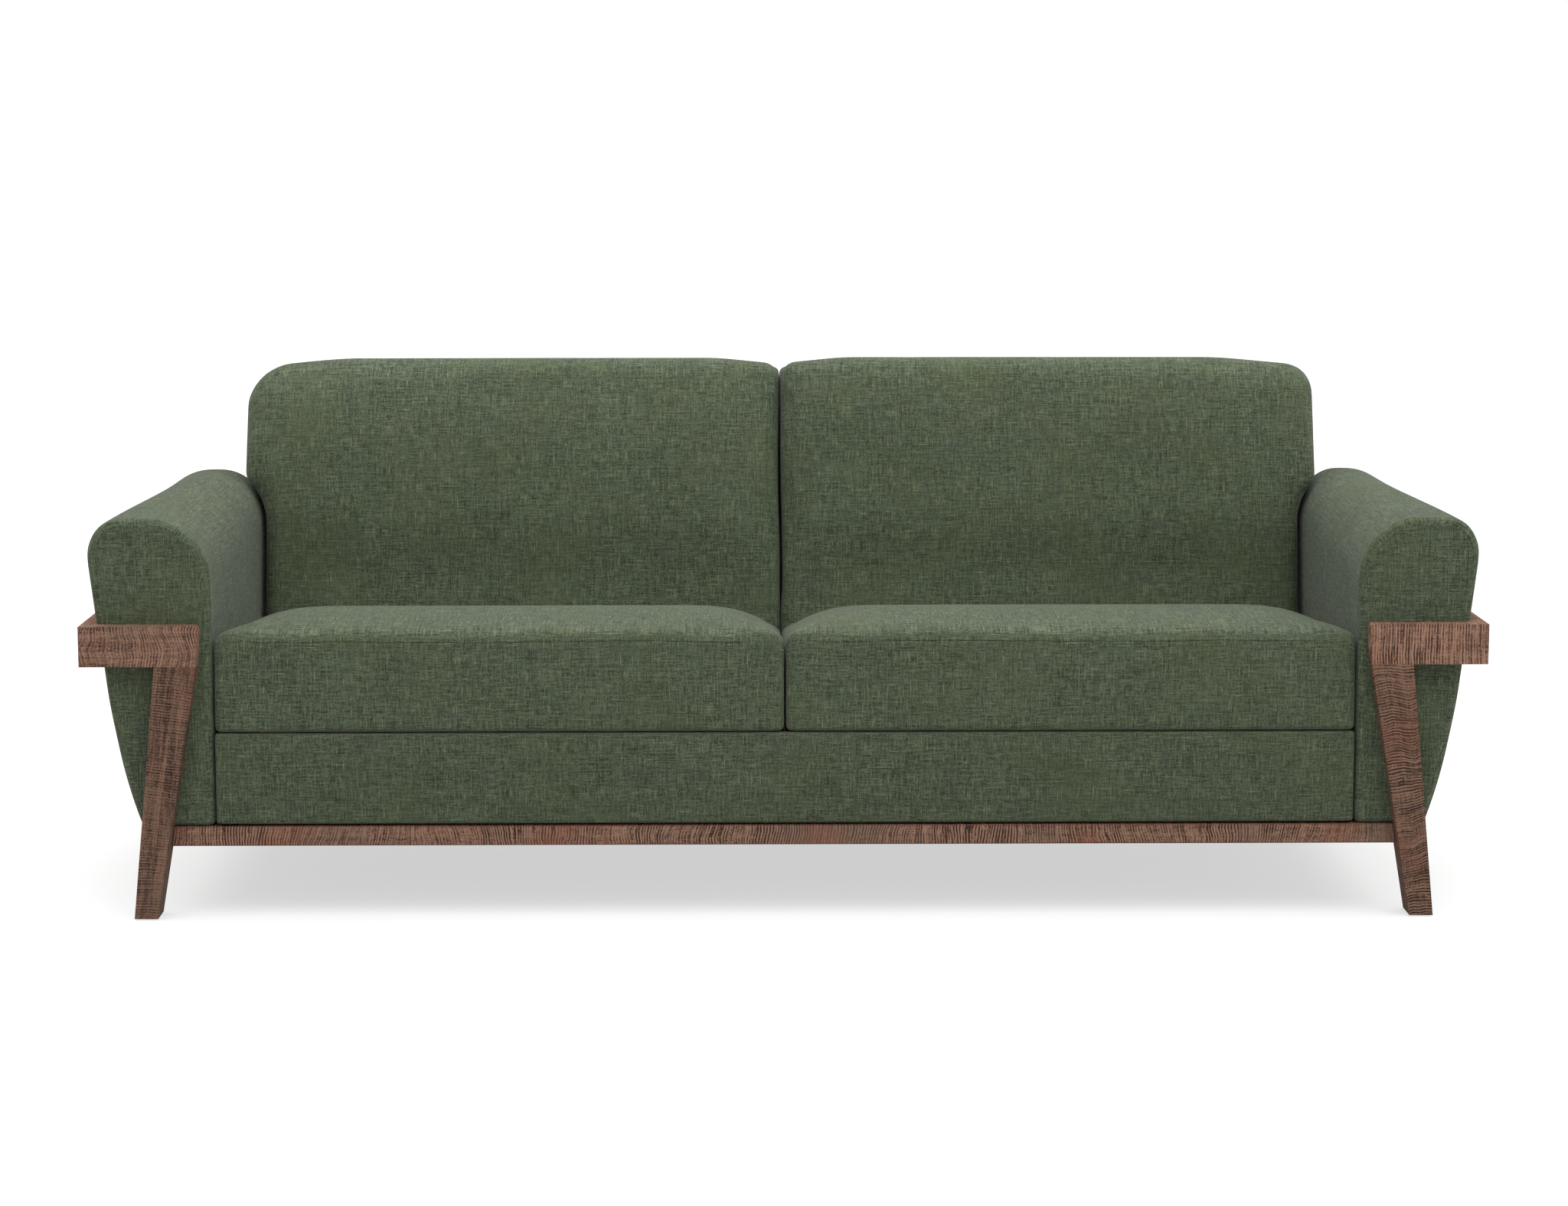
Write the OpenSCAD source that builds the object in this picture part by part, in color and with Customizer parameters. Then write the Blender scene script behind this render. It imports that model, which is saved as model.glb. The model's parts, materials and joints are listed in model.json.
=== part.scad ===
// Three-seat sofa bed with a split back. Each half of the back is hinged on the base
// and lies down to seat height. Upholstered arms are carried by an outer timber frame.
// +X is to the right as seen from the front, the front faces -Y, and Z is up.
// The origin is on the floor, midway across the width and the depth.

/* [Seat] */
// Clear width between the two arms
seat_w = 1834; // [1734:2:1934]
// Height of the seat's top where it meets the back
seat_h = 462; // [458:1:466]
// Height of the underside of the seat cushions
cushion_base_h = 301; // [297:1:305]
// Gap between the two seat cushions
cushion_gap = 5; // [2:1:8]

/* [Arms] */
// Width of an arm's upholstery
arm_w = 198; // [190:1:210]
// Height of the arm tops
arm_h = 648; // [636:1:664]
// Front to rear length of an arm's upholstery
arm_d = 742; // [736:1:760]
// Radius of the arm's inner roll
roll_r = 102; // [90:1:110]
// Radius of the arm's outer shoulder
shoulder_r = 45; // [30:1:50]
// Lean of the arm's outer flank
flank_lean = 6.7; // [5:0.1:8]

/* [Timber] */
// How far the side beams stand out from the arms
beam_proud = 15; // [10:1:25]
// Thickness of a side beam
beam_t = 45; // [38:1:55]
// Height of the beams
beam_h = 65; // [55:1:75]
// Height of the underside of the beams
beam_z = 414; // [405:1:425]
// Front to rear depth of the legs and end beams
leg_d = 55; // [48:1:62]
// How far the end beams and legs stand out from the arms' upholstery
timber_proud = 28; // [20:1:34]
// Height of the base rails
rail_h = 32; // [28:1:38]
// Height of the underside of the base rails
rail_z = 116; // [110:1:128]
// Front to rear depth of the base rails
rail_d = 45; // [38:1:50]

/* [Back] */
// Lean of the back from upright
rake = 12; // [10:0.5:14]
// Distance from the timber's front face to the seam between seat and back
crease_y = 611; // [605:1:615]
// Height where the seat's top plane meets the back's front plane
crease_z = 466; // [464:1:470]
// Thickness of the back
back_t = 185; // [180:1:190]
// Length of the back above the seat, along its own plane
back_rise = 405; // [380:1:430]
// Length of the back below the seat, along its own plane
back_drop = 215; // [205:1:218]
// Half of the back's full width above the arms
back_half_w = 946; // [936:1:956]
// Radius along the top edges of the back
top_r = 50; // [40:1:58]
// Gap between the two halves of the back
back_gap = 7; // [5:1:12]
// Clearance between the back and an arm
arm_clear = 7; // [6:0.5:9]

/* [Hinges] */
// Distance from the pivot to the back's front plane and to the seat's top plane
pivot_depth = 140; // [136:1:142]
// Radius of the hinge pins
pin_r = 6; // [5:0.5:8]
// Running clearance between a hinge pin and its plates
pin_clear = 0.05; // [0.02:0.01:0.09]
// Thickness of the hinge plates
plate_t = 5; // [4:0.5:6]

/* [Hidden] */

$fn = 64;
stained_oak = [0.42, 0.30, 0.24];
green_linen = [0.27, 0.33, 0.25];
pale_pine = [0.80, 0.66, 0.46];
plywood = [0.72, 0.58, 0.40];
steel = [0.45, 0.46, 0.48];
zinc = [0.70, 0.71, 0.73];
black_webbing = [0.12, 0.12, 0.13];

// Overall sizes. Lengths along Y are counted from the timber's front face.
seat_half = seat_w / 2;
arm_out = seat_half + arm_w;
sofa_half = arm_out + beam_proud;
base_d = arm_d + 2 * timber_proud;
arm_front = timber_proud;
arm_rear = timber_proud + arm_d;
rail_top = rail_z + rail_h;
beam_top = beam_z + beam_h;
overall_d = crease_y + (back_rise - top_r) * sin(rake) + (back_t - top_r) * cos(rake) + top_r;
small = 0.5;
big = 3000;

// Legs: slanted, wide at the top and narrow at the floor.
glide_h = 2;
glide_r = 13;
leg_top_in = seat_half + 26;
leg_top_out = seat_half + 93;
foot_in = seat_half + 96;
foot_out = seat_half + 134;
beam_end_in = seat_half + 22;
beam_corner_r = 8;
centre_leg_w = 44;

// Bolts that hold a leg and its end beam to the post inside the arm.
bolt_r = 4;
bolt_hole_r = 4.25;
bolt_head_r = 7.5;
bolt_head_h = 6;
bolt_start = 14;
leg_bolt_spots = [[seat_half + 60, beam_z + beam_h / 2], [seat_half + 81, 250]];
dowel_r = 5;
dowel_hole_r = 5.05;
dowel_half_l = 20;

// Arm frame, inside the arm's upholstery.
arm_wall = 34;
post_d = 40;
frame_in = seat_half + 33;
frame_out = seat_half + 111;
frame_top = arm_h - 58;
board_t = 18;
flank_r = 800;
flank_start_z = 330;

// Seat box under the cushions.
apron_t = 20;
apron_gap = 1;
box_top = cushion_base_h - 8;
box_rear = 545;
slat_w = 60;
slats_each_side = 8;
slat_margin = 45;
rear_apron_t = 18;
rear_apron_top = rail_top + 54;
cover_t = 1;
cover_margin = 8;
side_gap = 2;

// Hinges. The pivot lies on the line that halves the angle between the seat's top plane
// and the back's front plane, so the back's front comes level with the seat's top.
half_angle = (90 + rake) / 2;
pivot_drop = pivot_depth / tan(half_angle);
pivot_y = crease_y + pivot_drop;
pivot_z = crease_z - pivot_depth;
lower_sweep_r = sqrt(pow(pivot_depth, 2) + pow(back_drop - pivot_drop, 2));
sweep_clear = 5;
plate_gap = 1;
base_plate_r = 26;
base_plate_start = [470, 235];
back_plate_r = 18;
back_plate_low = -back_drop + 30;
back_plate_high = -45;
pin_head_r = 11;
pin_head_h = 6;
nut_r = 10;
nut_h = 6;
nut_pocket_r = 14;
nut_pocket_h = 16;
screw_head_r = 7;
screw_head_h = 3;
screw_l = 35;
screw_inset = 10;
outer_hinge_x = seat_half - 24;
inner_hinge_x = board_t / 2;

// Back sections, in the back's own frame: Z runs up its front plane, Y is depth behind it.
narrow_out = outer_hinge_x - 2 * plate_t - plate_gap;
narrow_in = inner_hinge_x + 2 * plate_t + plate_gap;
notch_top = -20;
outer_corner_r = 60;
inner_corner_r = 30;
member_w = 40;
member_front = pivot_depth - 20;
member_t = 40;
member_h = 45;
frame_low = -back_drop + 10;
frame_high = back_rise - 30;
mid_member_x = (narrow_in + narrow_out) / 2;
pocket_clear = 0.5;
panel_front = member_front + member_t + 1;
webbing_t = 2;
webbing_w = 55;
webbing_spots = [-100, 0, 100, 200, 300];

// Points along an arc of radius r about c, from angle a0 to angle a1.
function arc(c, r, a0, a1, steps) =
  [for (i = [0 : steps]) let (a = a0 + (a1 - a0) * i / steps) c + r * [cos(a), sin(a)]];

// Moves lengths that are counted from the timber's front face into the sofa's frame.
module from_front() {
  translate([0, -overall_d / 2, 0]) children();
}

// Draws a front-view outline (X, Z) as a solid between two depths.
module front_solid(y0, y1) {
  translate([0, y1, 0]) rotate([90, 0, 0]) linear_extrude(y1 - y0) children();
}

// Draws a side-view outline (Y, Z) as a solid between two widths.
module side_solid(x0, x1) {
  translate([x0, 0, 0]) rotate([90, 0, 90]) linear_extrude(x1 - x0) children();
}

// A box between two corners.
module span(low, high) {
  translate(low) cube(high - low);
}

// A round bar along Y, and one along X.
module bar_y(x, z, r, y0, y1) {
  translate([x, y1, z]) rotate([90, 0, 0]) cylinder(r = r, h = y1 - y0);
}
module bar_x(y, z, r, x0, x1) {
  translate([x0, y, z]) rotate([0, 90, 0]) cylinder(r = r, h = x1 - x0);
}

// A flat plate with round ends, between two points of the side view.
module strap(a, b, r, x0, x1) {
  run = b - a;
  turn = atan2(run[1], run[0]);
  side_solid(x0, x1) polygon(concat(
    arc(b, r, turn - 90, turn + 90, 16),
    arc(a, r, turn + 90, turn + 270, 16)
  ));
}

// Copies for the left side and for the rear of the base.
module on_left() {
  mirror([1, 0, 0]) children();
}
module at_rear() {
  translate([0, base_d, 0]) mirror([0, 1, 0]) children();
}

// ---- Timber ----

// Front view of a right-hand leg.
module leg_outline() {
  polygon([[leg_top_in, beam_z], [leg_top_out, beam_z], [foot_out, glide_h], [foot_in, glide_h]]);
}

// Front view of the beam across the front of the right arm.
module end_beam_outline() {
  corner = [beam_end_in + beam_corner_r, beam_top - beam_corner_r];
  polygon(concat(
    [[sofa_half, beam_top], [sofa_half, beam_z], [leg_top_in, beam_z]],
    arc(corner, beam_corner_r, 180, 90, 6)
  ));
}

module leg_bolt_holes(r) {
  for (spot = leg_bolt_spots) {
    bar_y(spot[0], spot[1], r, bolt_start, arm_front + arm_wall + post_d + bolt_head_h);
  }
}

module dowel_bars(r, half_l) {
  for (rise = [-beam_h / 4, beam_h / 4]) {
    bar_y(sofa_half - beam_t / 2, beam_z + beam_h / 2 + rise, r, leg_d - half_l, leg_d + half_l);
  }
}

module right_leg() {
  color(stained_oak) from_front() difference() {
    front_solid(0, leg_d) leg_outline();
    leg_bolt_holes(bolt_hole_r);
  }
}
module right_rear_leg() {
  color(stained_oak) from_front() at_rear() difference() {
    front_solid(0, leg_d) leg_outline();
    leg_bolt_holes(bolt_hole_r);
  }
}
module front_left_leg() { on_left() right_leg(); }
module front_right_leg() { right_leg(); }
module rear_left_leg() { on_left() right_rear_leg(); }
module rear_right_leg() { right_rear_leg(); }

module end_beam() {
  difference() {
    front_solid(0, leg_d) end_beam_outline();
    leg_bolt_holes(bolt_hole_r);
    dowel_bars(dowel_hole_r, dowel_half_l + small);
  }
}
module front_right_beam() { color(stained_oak) from_front() end_beam(); }
module front_left_beam() { on_left() front_right_beam(); }
module rear_right_beam() { color(stained_oak) from_front() at_rear() end_beam(); }
module rear_left_beam() { on_left() rear_right_beam(); }

module right_side_beam() {
  color(stained_oak) from_front() difference() {
    span([sofa_half - beam_t, leg_d, beam_z], [sofa_half, base_d - leg_d, beam_top]);
    dowel_bars(dowel_hole_r, dowel_half_l + small);
    at_rear() dowel_bars(dowel_hole_r, dowel_half_l + small);
  }
}
module left_side_beam() { on_left() right_side_beam(); }

// A rail from leg to leg, lapped behind both legs.
module cross_rail() {
  difference() {
    span([-leg_top_out - 20, arm_front, rail_z], [leg_top_out + 20, arm_front + rail_d, rail_top]);
    front_solid(0, leg_d) leg_outline();
    on_left() front_solid(0, leg_d) leg_outline();
  }
}
module front_rail() { color(stained_oak) from_front() cross_rail(); }
module rear_rail() { color(stained_oak) from_front() at_rear() cross_rail(); }

module right_base_rail() {
  color(stained_oak) from_front()
    span([frame_in, arm_front + rail_d, rail_z], [frame_in + rail_d, arm_rear - rail_d, rail_top]);
}
module left_base_rail() { on_left() right_base_rail(); }

module centre_leg() {
  color(stained_oak) from_front()
    span(
      [-centre_leg_w / 2, arm_rear - rail_d, glide_h],
      [centre_leg_w / 2, arm_rear - small, rail_z]
    );
}

module leg_glides() {
  foot_mid = (foot_in + foot_out) / 2;
  centre_y = arm_rear - rail_d / 2;
  color("dimgray") from_front() {
    for (x = [-foot_mid, foot_mid]) {
      for (y = [leg_d / 2, base_d - leg_d / 2]) {
        translate([x, y, 0]) cylinder(r = glide_r, h = glide_h);
      }
    }
    translate([0, centre_y, 0]) cylinder(r = glide_r, h = glide_h);
  }
}

// One leg bolt: a shaft with a hexagon head behind the arm's post.
module leg_bolt(spot) {
  head_y = arm_front + arm_wall + post_d;
  bar_y(spot[0], spot[1], bolt_r, bolt_start + 1, head_y + small);
  translate([spot[0], head_y + bolt_head_h, spot[1]]) rotate([90, 0, 0])
    cylinder(r = bolt_head_r, h = bolt_head_h, $fn = 6);
}
module leg_bolts() {
  color(zinc) from_front() for (spot = leg_bolt_spots) {
    leg_bolt(spot);
    on_left() leg_bolt(spot);
    at_rear() leg_bolt(spot);
    on_left() at_rear() leg_bolt(spot);
  }
}

module beam_dowels() {
  color(pale_pine) from_front() {
    dowel_bars(dowel_r, dowel_half_l);
    on_left() dowel_bars(dowel_r, dowel_half_l);
    at_rear() dowel_bars(dowel_r, dowel_half_l);
    on_left() at_rear() dowel_bars(dowel_r, dowel_half_l);
  }
}

// ---- Arms ----

// Front view of the right arm's upholstery, grown outwards by g: straight inner face,
// inner roll, flat top, outer shoulder, and a flank that curves in towards the floor.
module arm_outline(g = 0) {
  roll_c = [seat_half + roll_r, arm_h - roll_r];
  shoulder_c = [arm_out - shoulder_r, arm_h - shoulder_r];
  shoulder_end = shoulder_c + shoulder_r * [cos(flank_lean), -sin(flank_lean)];
  run = (shoulder_end[1] - flank_start_z) * tan(flank_lean);
  flank_start = [shoulder_end[0] - run, flank_start_z];
  flank_c = flank_start - flank_r * [cos(flank_lean), -sin(flank_lean)];
  flank_end = asin((flank_c[1] - rail_top) / flank_r);
  polygon(concat(
    [[seat_half - g, rail_top]],
    arc(roll_c, roll_r + g, 180, 90, 16),
    arc(shoulder_c, shoulder_r + g, 90, -flank_lean, 12),
    arc(flank_c, flank_r + g, -flank_lean, -flank_end, 10)
  ));
}

// The end timbers of one arm, cut out of its upholstery.
module arm_timber_recess() {
  front_solid(-small, leg_d) leg_outline();
  span([beam_end_in, -small, beam_z], [sofa_half + small, leg_d, beam_top]);
}

module right_arm_pad() {
  color(green_linen) from_front() difference() {
    front_solid(arm_front, arm_rear) arm_outline();
    arm_timber_recess();
    at_rear() arm_timber_recess();
    span([sofa_half - beam_t, -small, beam_z], [sofa_half + small, base_d + small, beam_top]);
    span(
      [frame_in - small, arm_front + arm_wall - small, rail_top - small],
      [frame_out + small, arm_rear - arm_wall + small, frame_top + small]
    );
    leg_bolt_holes(bolt_hole_r);
    at_rear() leg_bolt_holes(bolt_hole_r);
  }
}
module left_arm_pad() { on_left() right_arm_pad(); }

// A plywood side panel with a post at each end and a rail along the top and bottom.
module right_arm_frame() {
  y0 = arm_front + arm_wall;
  y1 = arm_rear - arm_wall;
  color(plywood) from_front() difference() {
    span([frame_in, y0, rail_top], [frame_out, y1, frame_top]);
    span(
      [frame_in + board_t, y0 + post_d, rail_top + post_d],
      [frame_out + small, y1 - post_d, frame_top - post_d]
    );
    leg_bolt_holes(bolt_hole_r);
    at_rear() leg_bolt_holes(bolt_hole_r);
  }
}
module left_arm_frame() { on_left() right_arm_frame(); }

// ---- Seat ----

module apron_pad() {
  half = seat_half - side_gap;
  color(green_linen) from_front()
    span(
      [-half, arm_front, rail_top + apron_gap],
      [half, arm_front + apron_t, cushion_base_h - apron_gap]
    );
}

module apron_board() {
  half = outer_hinge_x + board_t;
  color(plywood) from_front()
    span(
      [-half, arm_front + apron_t, rail_top],
      [half, arm_front + apron_t + board_t, box_top]
    );
}

// Bolt positions that fix a hinge's base plate to its board, in the side view.
function base_bolt_spots() =
  let (run = [pivot_y, pivot_z] - base_plate_start)
  [base_plate_start, base_plate_start + 0.15 * run];

module base_bolt_holes() {
  for (spot = base_bolt_spots()) {
    bar_x(spot[0], spot[1], bolt_hole_r, -sofa_half, sofa_half);
  }
}

module right_seat_board() {
  color(plywood) from_front() difference() {
    span(
      [outer_hinge_x, arm_front + apron_t + board_t, rail_top],
      [outer_hinge_x + board_t, box_rear, box_top]
    );
    base_bolt_holes();
  }
}
module left_seat_board() { on_left() right_seat_board(); }

module centre_divider() {
  color(plywood) from_front() difference() {
    span(
      [-board_t / 2, arm_front + apron_t + board_t, rail_top],
      [board_t / 2, box_rear, box_top]
    );
    base_bolt_holes();
  }
}

module rear_seat_boards() {
  x0 = inner_hinge_x + plate_t + plate_gap;
  x1 = outer_hinge_x - plate_t - plate_gap;
  color(plywood) from_front() {
    span([x0, box_rear - board_t, rail_top], [x1, box_rear, box_top]);
    on_left() span([x0, box_rear - board_t, rail_top], [x1, box_rear, box_top]);
  }
}

// Sprung slats from the apron board to the rear board, under the cushions.
module seat_slats() {
  first = slat_margin;
  last = outer_hinge_x - slat_margin - slat_w;
  pitch = (last - first) / (slats_each_side - 1);
  color(pale_pine) from_front() for (i = [0 : slats_each_side - 1]) {
    x = first + i * pitch;
    span([x, arm_front + apron_t, box_top], [x + slat_w, box_rear, cushion_base_h]);
    on_left() span([x, arm_front + apron_t, box_top], [x + slat_w, box_rear, cushion_base_h]);
  }
}

module rear_apron() {
  half = seat_half - side_gap;
  color(green_linen) from_front()
    span([-half, arm_rear - rear_apron_t, rail_top], [half, arm_rear, rear_apron_top]);
}

module dust_cover() {
  color(black_webbing) from_front() difference() {
    span(
      [-foot_in + leg_d, arm_front + cover_margin, rail_z - cover_t],
      [foot_in - leg_d, arm_rear - cover_margin, rail_z]
    );
    span(
      [-centre_leg_w / 2 - 1, arm_rear - rail_d - 1, rail_z - cover_t - 1],
      [centre_leg_w / 2 + 1, arm_rear, rail_z + 1]
    );
  }
}

// A seat cushion. Its rear is hollowed to let the foot of the back swing past it.
module right_seat_cushion() {
  cove_r = lower_sweep_r + sweep_clear;
  color(green_linen) from_front() difference() {
    span(
      [cushion_gap / 2, arm_front, cushion_base_h],
      [seat_half - side_gap, crease_y + 20, seat_h]
    );
    bar_x(pivot_y, pivot_z, cove_r, -small, sofa_half);
    on_back() span([-small, -3, -back_drop], [sofa_half, back_t, back_rise]);
  }
}
module left_seat_cushion() { on_left() right_seat_cushion(); }

// ---- Back ----

// Places things in the back's own frame: Z up its front plane, Y depth behind it.
module on_back() {
  translate([0, crease_y, crease_z]) rotate([-rake, 0, 0]) children();
}

// Front view of the right half of the back, before the arm is cut out of it.
module back_outline() {
  x0 = back_gap / 2;
  top_out = [back_half_w - outer_corner_r, back_rise - outer_corner_r];
  top_in = [x0 + inner_corner_r, back_rise - inner_corner_r];
  polygon(concat(
    [[x0, notch_top], [narrow_in, notch_top], [narrow_in, -back_drop]],
    [[narrow_out, -back_drop], [narrow_out, notch_top], [back_half_w, notch_top]],
    arc(top_out, outer_corner_r, 0, 90, 10),
    arc(top_in, inner_corner_r, 90, 180, 8)
  ));
}

// Side view of the back, with both top edges rounded.
module back_profile() {
  polygon(concat(
    [[0, -back_drop]],
    arc([top_r, back_rise - top_r], top_r, 180, 90, 10),
    arc([back_t - top_r, back_rise - top_r], top_r, 90, 0, 10),
    [[back_t, -back_drop]]
  ));
}

// The upholstered shape of the right half of the back, between two depths.
module back_slab(y0, y1) {
  difference() {
    on_back() intersection() {
      front_solid(y0, y1) back_outline();
      side_solid(0, back_half_w + small) back_profile();
    }
    front_solid(0, big) arm_outline(arm_clear);
  }
}

module right_back_cushion() {
  color(green_linen) from_front() difference() {
    back_slab(0, panel_front - small);
    on_back() span(
      [narrow_in - pocket_clear, member_front - webbing_t - pocket_clear, frame_low - pocket_clear],
      [narrow_out + pocket_clear, panel_front, frame_high + pocket_clear]
    );
  }
}
module left_back_cushion() { on_left() right_back_cushion(); }

module right_back_panel() {
  color(green_linen) from_front() back_slab(panel_front, back_t);
}
module left_back_panel() { on_left() right_back_panel(); }

// Left edge of each upright of a back frame.
function upright_spots() = [narrow_in, mid_member_x - member_w / 2, narrow_out - member_w];

module right_back_uprights() {
  color(pale_pine) from_front() difference() {
    on_back() for (x = upright_spots()) {
      span([x, member_front, frame_low], [x + member_w, member_front + member_t, frame_high]);
    }
    at_hinges() bar_x(pivot_y, pivot_z, nut_pocket_r, 2 * plate_t + plate_gap - small, nut_reach());
    at_hinges() back_screws(bolt_hole_r, 1);
  }
}
module left_back_uprights() { on_left() right_back_uprights(); }

// Two lengths of rail between the three uprights.
module back_rail(z0) {
  x = upright_spots();
  span([x[0] + member_w, member_front, z0], [x[1], member_front + member_t, z0 + member_h]);
  span([x[1] + member_w, member_front, z0], [x[2], member_front + member_t, z0 + member_h]);
}
module right_back_top_rail() {
  color(pale_pine) from_front() on_back() back_rail(frame_high - member_h);
}
module left_back_top_rail() { on_left() right_back_top_rail(); }
module right_back_bottom_rail() {
  color(pale_pine) from_front() on_back() back_rail(frame_low);
}
module left_back_bottom_rail() { on_left() right_back_bottom_rail(); }

module right_back_webbing() {
  color(black_webbing) from_front() on_back() for (z = webbing_spots) {
    span([narrow_in, member_front - webbing_t, z], [narrow_out, member_front, z + webbing_w]);
  }
}
module left_back_webbing() { on_left() right_back_webbing(); }

// ---- Hinges ----

function nut_reach() = 2 * plate_t + plate_gap + nut_pocket_h;

// Puts a hinge at each end of the right half of the back. In a hinge's own frame X = 0 is
// the outer face of its base plate, and X grows towards the middle of that half.
module at_inner_hinge() {
  translate([inner_hinge_x, 0, 0]) children();
}
module at_outer_hinge() {
  translate([outer_hinge_x, 0, 0]) mirror([1, 0, 0]) children();
}
module at_hinges() {
  at_inner_hinge() children();
  at_outer_hinge() children();
}

module base_plate() {
  difference() {
    strap(base_plate_start, [pivot_y, pivot_z], base_plate_r, 0, plate_t);
    bar_x(pivot_y, pivot_z, pin_r + pin_clear, -small, plate_t + small);
    for (spot = base_bolt_spots()) {
      bar_x(spot[0], spot[1], bolt_hole_r, -small, plate_t + small);
    }
  }
}

// Depth and height of the screws through a back plate, in the back's own frame.
function back_screw_spots() = [back_plate_low + screw_inset, back_plate_high - screw_inset / 2];

// The screws that fix a back plate: flush heads in the plate, shafts in the upright.
module back_screws(r, extra) {
  face = plate_t + plate_gap;
  on_back() for (z = back_screw_spots()) {
    bar_x(pivot_depth, z, r, face, face + screw_l + extra);
  }
}
module back_screw_heads(r, h) {
  face = plate_t + plate_gap;
  on_back() for (z = back_screw_spots()) {
    bar_x(pivot_depth, z, r, face, face + h);
  }
}

module back_plate() {
  face = plate_t + plate_gap;
  difference() {
    on_back() strap(
      [pivot_depth, back_plate_low], [pivot_depth, back_plate_high],
      back_plate_r, face, face + plate_t
    );
    bar_x(pivot_y, pivot_z, pin_r + pin_clear, face - small, face + plate_t + small);
    back_screws(bolt_hole_r, 1);
    translate([-small, 0, 0]) back_screw_heads(screw_head_r + 0.2, screw_head_h + small);
  }
}

module right_inner_base_plate() { color(steel) from_front() at_inner_hinge() base_plate(); }
module right_outer_base_plate() { color(steel) from_front() at_outer_hinge() base_plate(); }
module left_inner_base_plate() { on_left() right_inner_base_plate(); }
module left_outer_base_plate() { on_left() right_outer_base_plate(); }
module right_inner_back_plate() { color(steel) from_front() at_inner_hinge() back_plate(); }
module right_outer_back_plate() { color(steel) from_front() at_outer_hinge() back_plate(); }
module left_inner_back_plate() { on_left() right_inner_back_plate(); }
module left_outer_back_plate() { on_left() right_outer_back_plate(); }

// A hinge pin: head against the base plate, shaft through both plates, nut in the upright.
module hinge_pin() {
  nut_x = 2 * plate_t + plate_gap + nut_h;
  bar_x(pivot_y, pivot_z, pin_head_r, -pin_head_h, 0);
  bar_x(pivot_y, pivot_z, pin_r, -pin_head_h, nut_x + nut_h);
  bar_x(pivot_y, pivot_z, nut_r, nut_x, nut_x + nut_h);
}
module hinge_pins() {
  color(zinc) from_front() {
    at_hinges() hinge_pin();
    on_left() at_hinges() hinge_pin();
  }
}

// Bolts through the base plates: two through the divider, and two into each side board.
module hinge_base_bolts() {
  head = bolt_head_h / 2;
  inner_end = inner_hinge_x + plate_t;
  outer_end = outer_hinge_x - plate_t;
  color(zinc) from_front() for (spot = base_bolt_spots()) {
    bar_x(spot[0], spot[1], bolt_r, -inner_end, inner_end);
    for (side = [0, 1]) mirror([side, 0, 0]) {
      bar_x(spot[0], spot[1], screw_head_r, inner_end, inner_end + head);
      bar_x(spot[0], spot[1], screw_head_r, outer_end - head, outer_end);
      bar_x(spot[0], spot[1], bolt_r, outer_end - head, outer_hinge_x + board_t - 1);
    }
  }
}

module right_back_bolts() {
  color(zinc) from_front() at_hinges() {
    back_screws(bolt_r, 0);
    back_screw_heads(screw_head_r, screw_head_h);
  }
}
module left_back_bolts() { on_left() right_back_bolts(); }

front_rail();
rear_rail();
left_base_rail();
right_base_rail();
front_left_leg();
front_right_leg();
rear_left_leg();
rear_right_leg();
front_left_beam();
front_right_beam();
rear_left_beam();
rear_right_beam();
left_side_beam();
right_side_beam();
centre_leg();
leg_glides();
leg_bolts();
beam_dowels();
apron_board();
apron_pad();
left_seat_board();
right_seat_board();
centre_divider();
rear_seat_boards();
seat_slats();
rear_apron();
dust_cover();
left_seat_cushion();
right_seat_cushion();
left_arm_frame();
right_arm_frame();
left_arm_pad();
right_arm_pad();
left_outer_base_plate();
left_inner_base_plate();
right_inner_base_plate();
right_outer_base_plate();
hinge_pins();
hinge_base_bolts();
left_back_top_rail();
left_back_bottom_rail();
left_back_uprights();
left_back_webbing();
left_back_cushion();
left_back_panel();
left_outer_back_plate();
left_inner_back_plate();
left_back_bolts();
right_back_top_rail();
right_back_bottom_rail();
right_back_uprights();
right_back_webbing();
right_back_cushion();
right_back_panel();
right_outer_back_plate();
right_inner_back_plate();
right_back_bolts();
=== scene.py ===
import json
import math

import bpy
import numpy as np
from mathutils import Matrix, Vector, kdtree


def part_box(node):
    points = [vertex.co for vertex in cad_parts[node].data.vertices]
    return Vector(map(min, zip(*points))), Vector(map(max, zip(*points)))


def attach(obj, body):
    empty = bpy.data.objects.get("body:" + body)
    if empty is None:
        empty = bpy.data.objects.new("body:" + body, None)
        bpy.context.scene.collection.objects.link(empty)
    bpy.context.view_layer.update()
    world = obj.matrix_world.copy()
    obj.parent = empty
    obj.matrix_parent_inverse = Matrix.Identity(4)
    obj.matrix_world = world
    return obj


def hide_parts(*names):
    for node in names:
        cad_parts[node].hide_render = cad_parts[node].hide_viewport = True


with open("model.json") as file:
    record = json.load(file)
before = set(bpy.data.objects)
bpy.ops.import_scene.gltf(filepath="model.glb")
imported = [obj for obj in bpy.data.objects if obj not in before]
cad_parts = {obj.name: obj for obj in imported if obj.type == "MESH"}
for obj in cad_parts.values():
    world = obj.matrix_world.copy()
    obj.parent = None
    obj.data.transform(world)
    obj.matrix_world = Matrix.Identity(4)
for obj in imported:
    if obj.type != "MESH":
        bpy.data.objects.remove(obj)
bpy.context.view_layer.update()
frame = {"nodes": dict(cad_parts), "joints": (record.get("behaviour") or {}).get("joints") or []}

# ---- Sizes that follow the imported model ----

JOINT = {j["name"]: j for j in frame["joints"]}["right_back_recline"]
PIVOT_Y, PIVOT_Z = JOINT["pos_m"][1], JOINT["pos_m"][2]
RAKE = math.radians(90 - JOINT["range_deg"][1])
PIVOT_DEPTH = 0.140
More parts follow.
